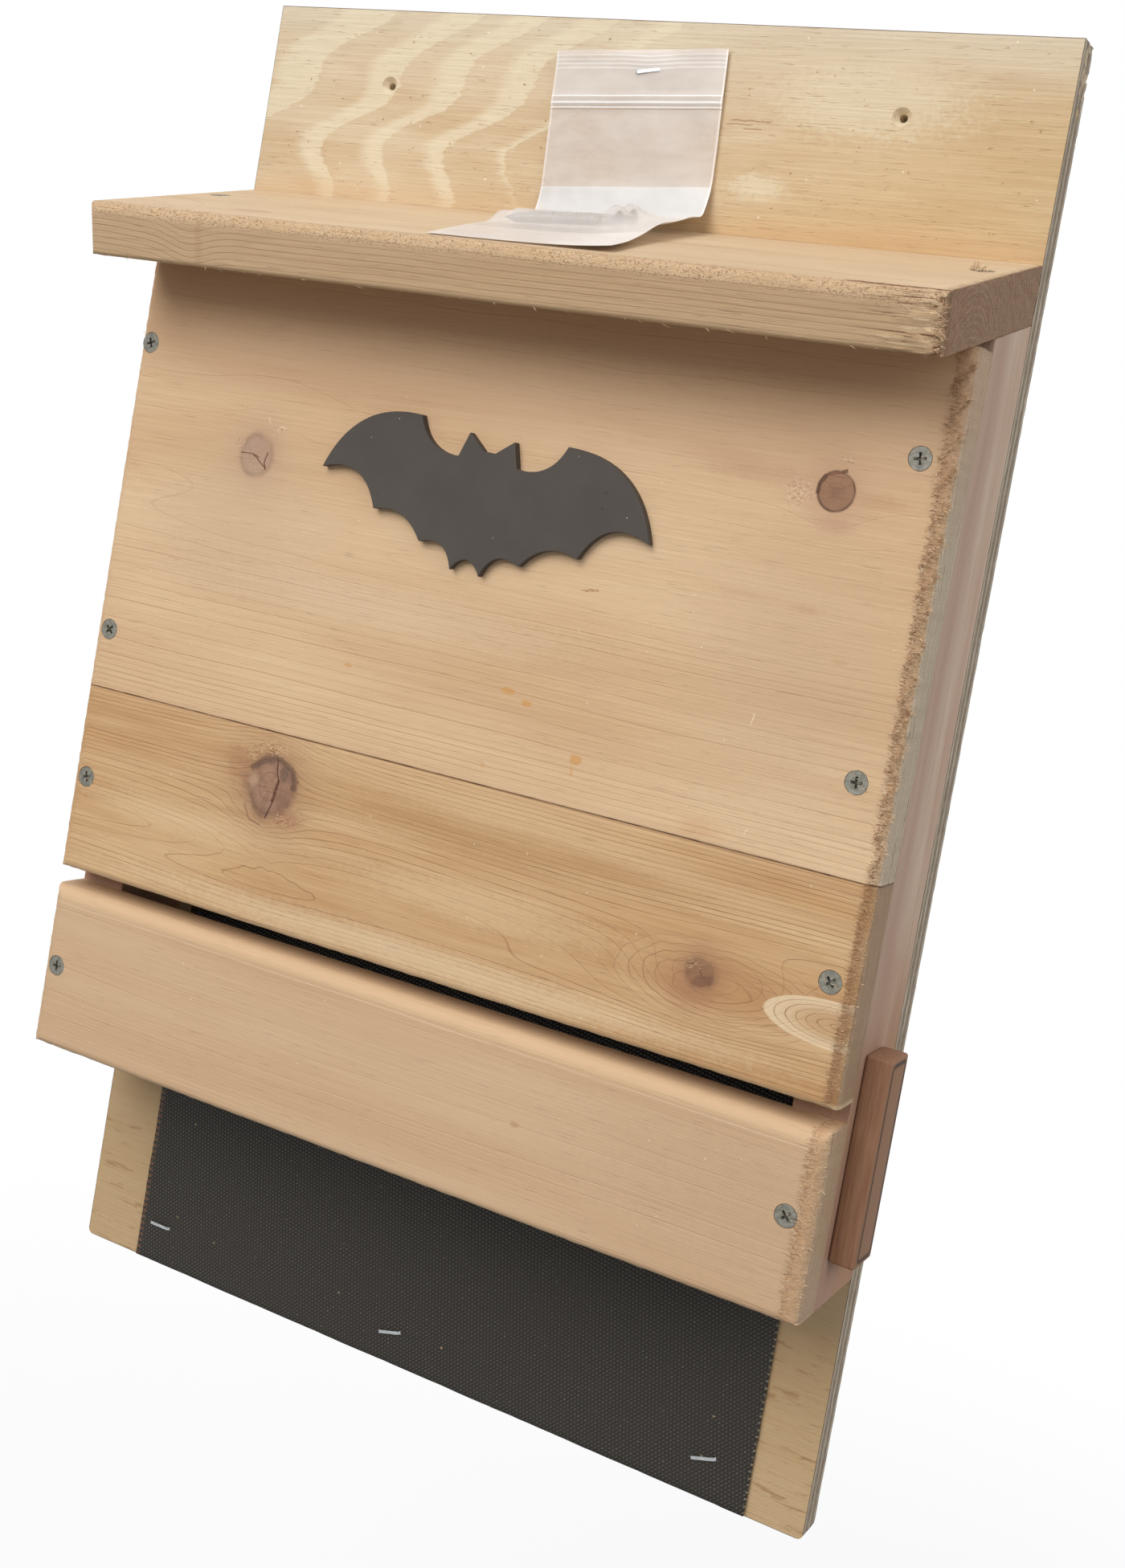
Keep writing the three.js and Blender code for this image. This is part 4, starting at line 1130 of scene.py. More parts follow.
def stops(low, high, gap, low_round=0.0, high_round=0.0, fine=1.0, fine_low=0.0, fine_high=0.0):
    """Grid places: closer on round-overs and, where asked, next to the ends."""
    arc = [1 - math.cos(math.pi / 2 * k / ROUND_STEPS) for k in range(ROUND_STEPS + 1)]
    first = [low + low_round * share for share in arc[:-1]] if low_round else []
    last = [high - high_round * share for share in reversed(arc)] if high_round else [high]
    start, end = low + low_round, high - high_round
    return [
        *first, *even(start, start + fine_low, fine), *even(start + fine_low, end - fine_high, gap),
        *even(end - fine_high, end, fine), *last,
    ]


def round_drop(distance, radius):
    """How far a round-over has dropped at a distance in from its edge."""
    if distance >= radius:
        return 0.0
    inward = radius - max(distance, 0.0)
    return radius - math.sqrt(max(radius * radius - inward * inward, 0.0))


def rounded_corner(inward, other, radius):
    """The distances from both edges of a place that moves from a square corner on to a round one."""
    a, b = radius - inward, radius - other
    if a <= 0 or b <= 0:
        return inward, other
    scale = max(a, b) / math.hypot(a, b)
    return radius - a * scale, radius - b * scale


def bridge(faces, one, other):
    """Joins two rings of points with faces."""
    faces.extend(zip(one, one[1:] + one[:1], other[1:] + other[:1], other))


def next_ring(points, faces, ring, places):
    """Adds a ring of points and joins it to the last one."""
    fresh = list(range(len(points), len(points) + len(places)))
    points.extend(places)
    bridge(faces, ring, fresh)
    return fresh


def span(places, centre, reach):
    """The grid places next to a reach either side of a centre, by number."""
    low = max([k for k, place in enumerate(places) if place <= centre - reach], default=0)
    high = min([k for k, place in enumerate(places) if place >= centre + reach], default=len(places) - 1)
    return low, high


def around(i0, i1, j0, j1):
    """The grid places round a block, in turn."""
    loop = [(i, j0) for i in range(i0, i1)] + [(i1, j) for j in range(j0, j1)]
    return loop + [(i, j1) for i in range(i1, i0, -1)] + [(i0, j) for j in range(j1, j0, -1)]


def lay_face(points, faces, us, vs, surface, holes, into):
    """Lays one face as a grid with its holes, and returns its rim and each hole's last ring."""
    made = {}

    def at(i, j):
        if (i, j) not in made:
            made[i, j] = len(points)
            points.append((us[i], vs[j], surface(us[i], vs[j])))
        return made[i, j]

    blocks = []
    for u, v, profile in holes:
        reach = max(profile[0][0], 3.8) * 1.22
        blocks.append((*span(us, u, reach), *span(vs, v, reach)))
    for i in range(len(us) - 1):
        for j in range(len(vs) - 1):
            if not any(i0 <= i < i1 and j0 <= j < j1 for i0, i1, j0, j1 in blocks):
                faces.append((at(i, j), at(i + 1, j), at(i + 1, j + 1), at(i, j + 1)))
    rings = []
    for (u, v, profile), block in zip(holes, blocks):
        loop = around(*block)
        ring = [at(i, j) for i, j in loop]
        starts = [(us[i], vs[j]) for i, j in loop]
        angles = [math.atan2(sv - v, su - u) for su, sv in starts]
        rim = profile[0][0]
        for share in (0.5, 1.0):
            places = []
            for (su, sv), angle in zip(starts, angles):
                pu = su + (u + rim * math.cos(angle) - su) * share
                pv = sv + (v + rim * math.sin(angle) - sv) * share
                places.append((pu, pv, surface(pu, pv)))
            ring = next_ring(points, faces, ring, places)
        for radius, depth in profile[1:]:
            level = surface(u, v) + into * depth
            places = [(u + radius * math.cos(a), v + radius * math.sin(a), level) for a in angles]
            ring = next_ring(points, faces, ring, places)
        rings.append(ring)
    return [at(i, j) for i, j in around(0, len(us) - 1, 0, len(vs) - 1)], rings


def slab(us, vs, front, back, rows, front_holes=(), back_holes=(), through=0):
    """A closed board. The first holes, as many as through says, join the two faces; others are blind."""
    points, faces = [], []
    into = 1.0 if back(us[0], vs[0]) > front(us[0], vs[0]) else -1.0
    rim, rings = lay_face(points, faces, us, vs, front, front_holes, into)
    back_rim, back_rings = lay_face(points, faces, us, vs, back, back_holes, -into)
    ring = rim
    for row in range(1, rows):
        share = row / rows
        places = [[a + (b - a) * share for a, b in zip(points[p], points[q])] for p, q in zip(rim, back_rim)]
        ring = next_ring(points, faces, ring, places)
    bridge(faces, ring, back_rim)
    for one, other in zip(rings[:through], back_rings[:through]):
        bridge(faces, one, other)
    faces.extend(tuple(blind) for blind in rings[through:] + back_rings[through:])
    return points, faces


# Screws by node, each with how far its recess is spun, in degrees

def numbered(stem, *spins):
    return {f"{stem}_{number}": spin for number, spin in enumerate(spins, 1)}


UPPER_SCREWS = numbered("upper_board_screw", 20, 48, 8, 4)
LOWER_SCREWS = numbered("lower_board_screw", 15, 40)
SLAT_SCREWS = numbered("slat_screw", 5, 42)
FRONT_SCREWS = {**UPPER_SCREWS, **LOWER_SCREWS, **SLAT_SCREWS}
BACK_SCREWS = {**numbered("back_screw_left", 12, 65, 33), **numbered("back_screw_right", 51, 27, 74)}
ROOF_SCREWS = {"roof_screw_left": 18, "roof_screw_right": 55}
LOOSE_SCREWS = numbered("mounting_screw", 30, 62)
SINK = [(4.35, 0.0), (4.3, 0.7), (2.4, 3.0), (2.4, 6.0)]


def screw_places(nodes):
    return [(middle(node)[0], middle(node)[2]) for node in nodes]


# Boards, rails, roof, bat and plaque

def torn_depth(x, z, depth):
    """How deep torn grain lies below the planed round-over at a place."""
    edge = TORN_BORDER + 1.6 * noise.noise((0.0, 3.0, z * 0.12)) + 1.1 * noise.noise((5.0, 1.0, z * 0.7))
    return depth * clamped((x - edge) / 2.0) * (0.25 + rough_noise(x * 0.5, 7.0, z * 0.9))


def front_board(name, node, foot_round, head_round, screws, material, slot, torn):
    """A front board: rounded ends, its own long edges, screw sinks and torn grain at its right end."""
    low, high = box_mm(node)
    us = stops(low[0], high[0], 3.4, ROUND_OVER, ROUND_OVER, 0.8, 7.0, 9.0)
    vs = stops(low[2], high[2], 1.5, foot_round, head_round)
    sunk = screw_places(screws)
    kept_clear, torn_from = 5.5, 168

    def front(x, z):
        ends = round_drop(min(x - low[0], high[0] - x), ROUND_OVER)
        return low[1] + max(ends, round_drop(z - low[2], foot_round), round_drop(high[2] - z, head_round))

    points, faces = slab(us, vs, front, lambda x, z: high[1], 8, [(x, z, SINK) for x, z in sunk])
    shaped = []
    for x, z, y in points:
        point = [x, y, z]
        if not any(math.hypot(x - sx, z - sz) < kept_clear for sx, sz in sunk):
            if x > torn_from and y < high[1] - 1:
                depth = torn_depth(x, z, torn)
                point[0] -= 0.7 * depth
                point[1] += 0.7 * depth
            if x < low[0] + 4:
                point[0] += 0.35 * noise.noise((z * 0.4, y * 0.4, 2.0))
        ragged = noise.noise((x * 0.25, 9.0, z * 0.05)) + 0.5 * noise.noise((x * 0.9, 4.0, z * 0.05))
        if z > high[2] - 0.7:
            point[2] -= 0.18 * ragged
        elif z < low[2] + 0.7:
            point[2] += 0.18 * ragged
        shaped.append(point)
    settle(build_mesh(name, shaped, faces, material), slot, [node])


def add_front_boards():
    front_board("upper_board", "upper_front_board", SEAM_ROUND, SEAM_ROUND, UPPER_SCREWS, pale_cedar(),
                "pale_cedar", 0.5)
    front_board("lower_board", "lower_front_board", LOWER_ROUND, SEAM_ROUND, LOWER_SCREWS, yellow_cedar(),
                "yellow_cedar", 0.3)
    front_board("bottom_slat", "lower_slat", LOWER_ROUND, ROUND_OVER, SLAT_SCREWS, slat_cedar(),
                "slat_cedar", 0.45)


def add_backboard():
    """The ply panel: countersunk fixing holes, back screw sinks and a chipped edge."""
    us = stops(LEFT, RIGHT, 3.0, fine=1.2, fine_low=10.0, fine_high=10.0)
    vs = stops(BOTTOM, TOP, 3.0, fine=1.0, fine_low=6.0, fine_high=45.0)
    fixing = [(-FIXING_X, 0.0), (FIXING_X, 0.0)]
    front_holes = [(x, z, [(3.8, 0.0), (1.6, 2.4), (1.6, 6.0)]) for x, z in fixing]
    back_holes = [(x, z, [(1.6, 0.0), (1.6, 3.0), (1.6, 6.5)]) for x, z in fixing]
    back_holes += [(x, z, SINK) for x, z in screw_places(BACK_SCREWS)]
    points, faces = slab(us, vs, lambda x, z: PLY_FRONT, lambda x, z: 0.0, 10, front_holes, back_holes, 2)
    front_ply = PLY_FRONT * 0.75
    shaped = []
    for x, z, y in points:
        edge = RIGHT - abs(x)
        inward, up = rounded_corner(edge, z - BOTTOM, PLY_CORNER)
        z = BOTTOM + up
        chip = 0.0
        if edge < 0.5:
            if x > 0 and y > front_ply:
                fray = rough_noise(y * 0.35, 2.0, z * 0.22)
                chip = fray * (0.25 + 1.3 * clamped((z - 2.0) / 20.0)) * min(1.0, (y - front_ply) / 3.0)
            chip = abs(max(chip + 0.12 * noise.noise((y * 1.2, 5.0, z * 0.5)), -0.1))
        shaped.append((math.copysign(RIGHT - inward - chip, x), y, z))
    settle(build_mesh("ply_backboard", shaped, faces, plywood()), "plywood", ["backboard"])


def roof_place(x, along, up):
    """A place in the roof's own turned frame, as the part has it: along runs back up the slope."""
    y = ROOF_HINGE[0] + along * math.cos(ROOF_PITCH) - up * math.sin(ROOF_PITCH)
    z = ROOF_HINGE[1] + along * math.sin(ROOF_PITCH) + up * math.cos(ROOF_PITCH)
    return [x, y, z]


def add_roof():
    """The roof board: rounded front and ends, bevelled back, pits and a torn right corner."""
    us = stops(LEFT, RIGHT, 2.6, ROUND_OVER, ROUND_OVER, 0.8, 6.0, 14.0)
    vs = stops(-ROOF_DEPTH, 0.0, 2.6, ROOF_ROUND, 0.0, 0.9, 8.0, 0.0)

    def top(_, along):
        return ROOF_THICK - round_drop(along + ROOF_DEPTH, ROOF_ROUND)

    def under(_, along):
        return round_drop(along + ROOF_DEPTH, ROOF_LOWER_ROUND)

    holes = [(middle(node)[0], -ROOF_SCREW_BACK, SINK) for node in ROOF_SCREWS]
    points, faces = slab(us, vs, top, under, 12, holes)
    pitted = 7.0
    shaped = []
    for x, along, up in points:
        edge, forward = RIGHT - abs(x), along + ROOF_DEPTH
        inward, along = rounded_corner(edge, forward, ROUND_OVER)
        along -= ROOF_DEPTH
        x = math.copysign(RIGHT - inward, x)
        along += up * math.tan(ROOF_PITCH) * clamped(1.0 + along / 12.0)
        if forward < pitted and up > 1.0:
            rough = rough_noise(x * 0.08, along * 0.6, up * 0.7)
            depth = 0.12 + 0.9 * clamped((x - 150.0) / 24.0)
            along += depth * rough * min(1.0, (pitted - forward) / 3.0)
        if edge < 3.0 and x > 0:
            x -= 0.7 * rough_noise(3.0, along * 0.25, up * 0.3)
        shaped.append(roof_place(x, along, up))
    settle(build_mesh("sloped_roof", shaped, faces, roof_cedar()), "roof_cedar", ["roof_board"])


def add_rails():
    """The side rails, their tops cut to the roof's slope, their arrises softened."""
    material = rail_cedar()
    for node, name in (("left_rail", "side_rail_left"), ("right_rail", "side_rail_right")):
        low, high = box_mm(node)
        us = stops(low[0], high[0], 3.0, RAIL_ARRIS, RAIL_ARRIS)
        vs = stops(low[2], high[2], 6.0, RAIL_ARRIS, 0.0)

        def front(x, z):
            return low[1] + round_drop(min(x - low[0], high[0] - x, z - low[2]), RAIL_ARRIS)

        points, faces = slab(us, vs, front, lambda x, z: high[1], 14)
        shaped = []
        for x, z, y in points:
            z += (y - high[1]) * math.tan(ROOF_PITCH) * clamped((z - high[2] + 30.0) / 30.0)
            if abs(x) > RIGHT - 0.6:
                x -= math.copysign(0.12 + 0.12 * noise.noise((y * 0.3, 1.0, z * 0.03)), x)
            shaped.append((x, y, z))
        settle(build_mesh(name, shaped, faces, material), "rail_cedar", [node])


def bat_outline():
    """The bat's outline in shares of half its span, each bowed stretch a smooth arc."""
    shares = [
        (0.036, 0.252, 0), (0.136, 0.332, 0), (0.178, 0.2, -0.19), (0.445, 0.367, 0.186), (1, -0.018, -0.245),
        (0.626, -0.173, -0.18), (0.308, -0.282, -0.27), (0.089, -0.385, -0.12), (0, -0.314, 0),
    ]
    half = []
    for (x0, z0, bow), (x1, z1, _) in zip(shares, shares[1:]):
        count = 24 if bow else 3
        for k in range(count):
            share = k / count
            rise = 4 * bow * share * (1 - share)
            x = x0 + (x1 - x0) * share + (z0 - z1) * rise
            half.append((x, z0 + (z1 - z0) * share + (x1 - x0) * rise))
    return half + [shares[-1][:2]] + [(-x, z) for x, z in reversed(half)]


def add_bat():
    """The flat bat cut-out, a little tilted, its edges just eased."""
    low, high = box_mm("bat_figure")
    half_span = 73.0
    tilt = Matrix.Rotation(math.radians(-3), 2)
    centre_z = UPPER[0][2] + (UPPER[1][2] - UPPER[0][2]) * 0.57
    outline = [tilt @ Vector(place) * half_span for place in bat_outline()]
    count = len(outline)
    points = [(x, y, centre_z + z) for y in (low[1], high[1]) for x, z in outline]
    faces = [tuple(range(count)), tuple(range(2 * count - 1, count - 1, -1))]
    bridge(faces, list(range(count)), list(range(count, 2 * count)))
    piece = build_mesh("bat_cutout", points, faces, dark_panel())
    ease_edges(piece, 0.35, 2, 60.0)
    settle(piece, "dark_panel", ["bat_figure"])


def add_plaque():
    """The small block on the right rail, with rounded corners and a burnt line."""
    sides = list(zip(*box_mm("side_plaque")))
    corners = [(x, y, z) for x in sides[0] for y in sides[1] for z in sides[2]]
    faces = [(0, 1, 3, 2), (4, 6, 7, 5), (0, 4, 5, 1), (2, 3, 7, 6), (0, 2, 6, 4), (1, 5, 7, 3)]
    piece = build_mesh("burnt_plaque", corners, faces, plaque_wood(), 180.0)
    ease_edges(piece, 1.1, 4)
    settle(piece, "plaque_wood", ["side_plaque"])


# Screws, staples and fibres

SOCKET_KINDS = {float: "Float", int: "Int", tuple: "Vector", type(None): "Material"}


def geometry_tree(name, **inputs):
    """A Geometry Nodes tree with named inputs: returns the tree and its inputs."""
    data = bpy.data.node_groups.new(name, "GeometryNodeTree")
    tree = Tree(data)
    for way in ("INPUT", "OUTPUT"):
        data.interface.new_socket("Geometry", in_out=way, socket_type="NodeSocketGeometry")
    for label, value in {**inputs, "material": None}.items():
        kind = "NodeSocket" + SOCKET_KINDS[type(value)]
        socket = data.interface.new_socket(label_of(label), in_out="INPUT", socket_type=kind)
        if value is not None:
            socket.default_value = value
    given = tree.node("NodeGroupInput").outputs
    names = ("geometry", *inputs, "material")
    return tree, SimpleNamespace(**{label: Value(tree, socket) for label, socket in zip(names, given)})


def end_geometry(tree, given, geometry):
    """Ends a tree with real geometry and its material."""
    real = tree.out("GeometryNodeRealizeInstances", {0: geometry})
    painted = tree.out("GeometryNodeSetMaterial", {"Geometry": real, "Material": given.material})
    tree.node("NodeGroupOutput", {0: painted})
    return tree.data


def link_all(parts, socket):
    for part in parts:
        part.tree.put(socket, part)


def raised(geometry, height):
    values = {"Geometry": geometry, "Translation": joined(z=height)}
    return geometry.tree.out("GeometryNodeTransform", values)


def placed(geometry, **values):
    """Geometry whose points take a new position, or an offset."""
    given = {"Geometry": geometry, **{label.capitalize(): value for label, value in values.items()}}
    return geometry.tree.out("GeometryNodeSetPosition", given)


def cone(tree, sides, top, foot, depth, segments=1):
    return tree.out("GeometryNodeMeshCone", {
        "Vertices": sides, "Side Segments": segments, "Radius Top": top, "Radius Bottom": foot,
        "Depth": depth,
    })


def swept(path, section):
    values = {"Curve": path, "Profile Curve": section, "Fill Caps": True}
    return path.tree.out("GeometryNodeCurveToMesh", values)


def own_turn(tree, lean=None):
    """The turn that each point holds, with a random lean where one is given."""
    turn = tree.out("GeometryNodeInputNamedAttribute", {"Name": "turn"}, data_type="FLOAT_VECTOR")
    return tree.out("FunctionNodeEulerToRotation", {0: turn if lean is None else turn + lean})


def either_way(reach, seed):
    """A random vector within a reach either way."""
    values = {"Min": scaled(reach, -1.0), "Max": reach, "Seed": seed}
    return reach.tree.out("FunctionNodeRandomValue", values, data_type="FLOAT_VECTOR")


def on_points(points, instance, **values):
    """Puts one instance on each point, turned by the point's own turn unless another is given."""
    given = {"Points": points, "Instance": instance, "Rotation": own_turn(points.tree), **values}
    return points.tree.out("GeometryNodeInstanceOnPoints", given)


def make_screw_tree():
    """A flat head wood screw with a cross recess and a thread, its head at each point, facing +Z."""
    tree, given = geometry_tree(
        "Wood screw", length=0.04, head_radius=HEAD_RADIUS * MM, shank_radius=SHANK_RADIUS * MM,
        head_depth=2.6 * MM, point_length=5.0 * MM, thread_pitch=2.1 * MM, thread_height=0.42 * MM,
        recess_span=4.9 * MM, recess_width=1.15 * MM, recess_depth=1.7 * MM,
    )
    head = cone(tree, 32, given.head_radius, given.shank_radius * 0.9, given.head_depth)
    size = joined(given.recess_span, given.recess_width, given.recess_depth * 2.0)
    wing = tree.out("GeometryNodeMeshCube", {"Size": size})
    x, y, z = parts(tree.out("GeometryNodeInputPosition"))
    taper = z / given.recess_depth * 0.3 + 0.9
    wing = placed(wing, position=joined(x * taper, y * taper, z))
    other = tree.out("GeometryNodeTransform", {"Geometry": wing, "Rotation": (0, 0, math.pi / 2)})
    values = {"Mesh 1": raised(head, -given.head_depth)}
    cross = tree.node("GeometryNodeMeshBoolean", values, operation="DIFFERENCE", solver="EXACT")
    link_all((other, wing), cross.inputs["Mesh 2"])
    body = given.length - given.point_length - given.head_depth
    slim = given.shank_radius * 0.88
    shank = tree.out("GeometryNodeMeshCylinder", {"Vertices": 20, "Radius": slim, "Depth": body})
    tip = cone(tree, 20, slim, 0.0, given.point_length)
    run = body * 0.72
    coil = given.shank_radius * 0.86
    thread = tree.out("GeometryNodeCurveSpiral", {
        "Resolution": 12, "Rotations": run / given.thread_pitch, "Start Radius": coil, "End Radius": coil,
        "Height": run,
    })
    section = tree.out("GeometryNodeCurvePrimitiveCircle", {"Resolution": 3, "Radius": given.thread_height})
    whole = tree.node("GeometryNodeJoinGeometry")
    link_all((
        Value(tree, cross.outputs[0]),
        raised(shank, -given.head_depth - body * 0.5),
        raised(tip, -given.length),
        raised(swept(thread, section), given.point_length - given.length),
    ), whole.inputs[0])
    return end_geometry(tree, given, on_points(given.geometry, Value(tree, whole.outputs[0])))


def make_staple_tree():
    """A staple of rounded flat wire, its crown's middle at each point, its legs along +Y."""
    tree, given = geometry_tree(
        "Wire staple", crown=10.6 * MM, leg=6.0 * MM, wire_width=1.3 * MM, wire_thickness=0.6 * MM,
        bend=0.7 * MM,
    )
    index = tree.out("GeometryNodeInputIndex")
    side = reckon("GREATER_THAN", index, 1.5) * 2.0 - 1.0
    outer = reckon("GREATER_THAN", abs(index - 1.5), 1.0)
    line = tree.out("GeometryNodeMeshLine", {"Count": 4})
    line = placed(line, position=joined(side * given.crown * 0.5, outer * given.leg))
    path = tree.out("GeometryNodeMeshToCurve", {"Mesh": line})
    bent = tree.out("GeometryNodeFilletCurve", {"Curve": path, "Radius": given.bend})
    values = {"Width": given.wire_thickness, "Height": given.wire_width}
    section = tree.out("GeometryNodeCurvePrimitiveQuadrilateral", values)
    return end_geometry(tree, given, on_points(given.geometry, swept(bent, section)))


def make_fibre_tree():
    """Torn fibres scattered beside paths, each a thin curled three-sided spike."""
    tree, given = geometry_tree(
        "Torn fibres", count=200, spread=(0.001, 0.001, 0.001), shortest=0.5, longest=2.4,
        thickness=0.13 * MM, curl=450.0, lean=(1.0, 1.0, 1.0), seed=3,
    )
    path = tree.out("GeometryNodeMeshToCurve", {"Mesh": given.geometry})
    points = tree.out("GeometryNodeResampleCurve", {"Curve": path, "Count": given.count})
    points = placed(points, offset=either_way(given.spread, given.seed))
    spike = cone(tree, 3, given.thickness * 0.3, given.thickness, 1.0 * MM, 4)
    height = parts(tree.out("GeometryNodeInputPosition"))[2]
    spike = placed(spike, offset=joined(height * height * given.curl))
    turn = own_turn(tree, either_way(given.lean, given.seed + 11.0))
    values = {2: given.shortest, 3: given.longest, "Seed": given.seed + 5.0}
    long = tree.out("FunctionNodeRandomValue", values, 1, data_type="FLOAT")
    return end_geometry(tree, given, on_points(points, spike, Rotation=turn, Scale=joined(1.0, 1.0, long)))


def grow(name, data, points, turns, edges, values):
    """Runs a tree on points in millimetres and returns the result as a plain mesh object."""
    mesh = bpy.data.meshes.new(name + "_path")
    mesh.from_pydata([[value * MM for value in point] for point in points], edges, [])
    attribute = mesh.attributes.new("turn", "FLOAT_VECTOR", "POINT")
    for held, turn in zip(attribute.data, turns):
        held.vector = turn
    source = link_mesh(name + "_path", mesh)
    modifier = source.modifiers.new(name, "NODES")
    modifier.node_group = data
    sockets = {item.name: item.identifier for item in data.interface.items_tree if item.in_out == "INPUT"}
    for label, value in values.items():
        modifier[sockets[label]] = value
    shown = source.evaluated_get(bpy.context.evaluated_depsgraph_get())
    grown = bpy.data.meshes.new_from_object(shown)
    grown.name = name
    bpy.data.objects.remove(source)
    smooth(grown, 35)
    return link_mesh(name, grown)


def screw_turn(towards, spin=0.0):
    """The turn that points a screw's head along a direction, with its recess spun."""
    aim = Vector(towards).to_track_quat("Z", "Y").to_matrix()
    return (aim @ Matrix.Rotation(math.radians(spin), 3, "Z")).to_euler()


def head_place(node):
    """The middle of a loose screw's head, on its outer face."""
    high = box_mm(node)[1]
    return Vector((high[0], middle(node)[1], high[2] - HEAD_RADIUS))


def add_screws():
    """All the screws: seated in the front boards, the roof and the back, and loose in the bag."""
    data = make_screw_tree()
    material = zinc_steel()

    def row(name, screws, places, towards, length):
        turns = [screw_turn(towards, spin) for spin in screws.values()]
        piece = grow(name, data, places, turns, [], {"Length": length * MM, "Material": material})
        settle(piece, "zinc_steel", list(screws))

    seated = (
        ("front_screws", FRONT_SCREWS, 0, -1, FRONT_LENGTH),
        ("back_screws", BACK_SCREWS, 1, 1, BACK_LENGTH),
    )
    for name, screws, side, towards, long in seated:
        places = [(x, box_mm(node)[side][1], z) for node, (x, z) in zip(screws, screw_places(screws))]
        row(name, screws, places, (0, towards, 0), long)
    places = [roof_place(middle(node)[0], -ROOF_SCREW_BACK, ROOF_THICK - 0.2) for node in ROOF_SCREWS]
    row("roof_screws", ROOF_SCREWS, places, UP_ROOF, ROOF_LENGTH)
    places = [head_place(node) - Vector((0.2, 0.0, 0.0)) for node in LOOSE_SCREWS]
    tilt = math.radians(2.6)
    row("loose_screws", LOOSE_SCREWS, places, (math.cos(tilt), 0, math.sin(tilt)), LOOSE_LENGTH)


def add_staples():
    """The staples of the mesh and of the bag, each with its tilt in degrees."""
    data = make_staple_tree()
    material = bright_wire()
    mesh_staples = {
        "mesh_staple_bottom_left": 0, "mesh_staple_bottom_centre": 15, "mesh_staple_bottom_right": 17,
        "mesh_staple_top_left": 3, "mesh_staple_top_centre": -4, "mesh_staple_top_right": 2,
    }
    for name, tilts in (("mesh_staples", mesh_staples), ("bag_top_staple", {"bag_staple": 9})):
        places = [(middle(node)[0], box_mm(node)[0][1] + 0.3, middle(node)[2]) for node in tilts]
        turns = [(0.0, -math.radians(angle), 0.0) for angle in tilts.values()]
        settle(grow(name, data, places, turns, [], {"Material": material}), "bright_wire", list(tilts))


def board_end_path(low, high, border, lean):
    """A zigzag up a board's torn end, on its round-over."""
    path = []
    for k in range(61):
        z = low[2] + 4 + (high[2] - low[2] - 8) * k / 60
        start = border + lean * (high[2] - z)
        x = start + (k % 4) * (RIGHT - 0.8 - start) / 3
        path.append((x, low[1] + round_drop(high[0] - x, ROUND_OVER) + 0.1, z))
    return path


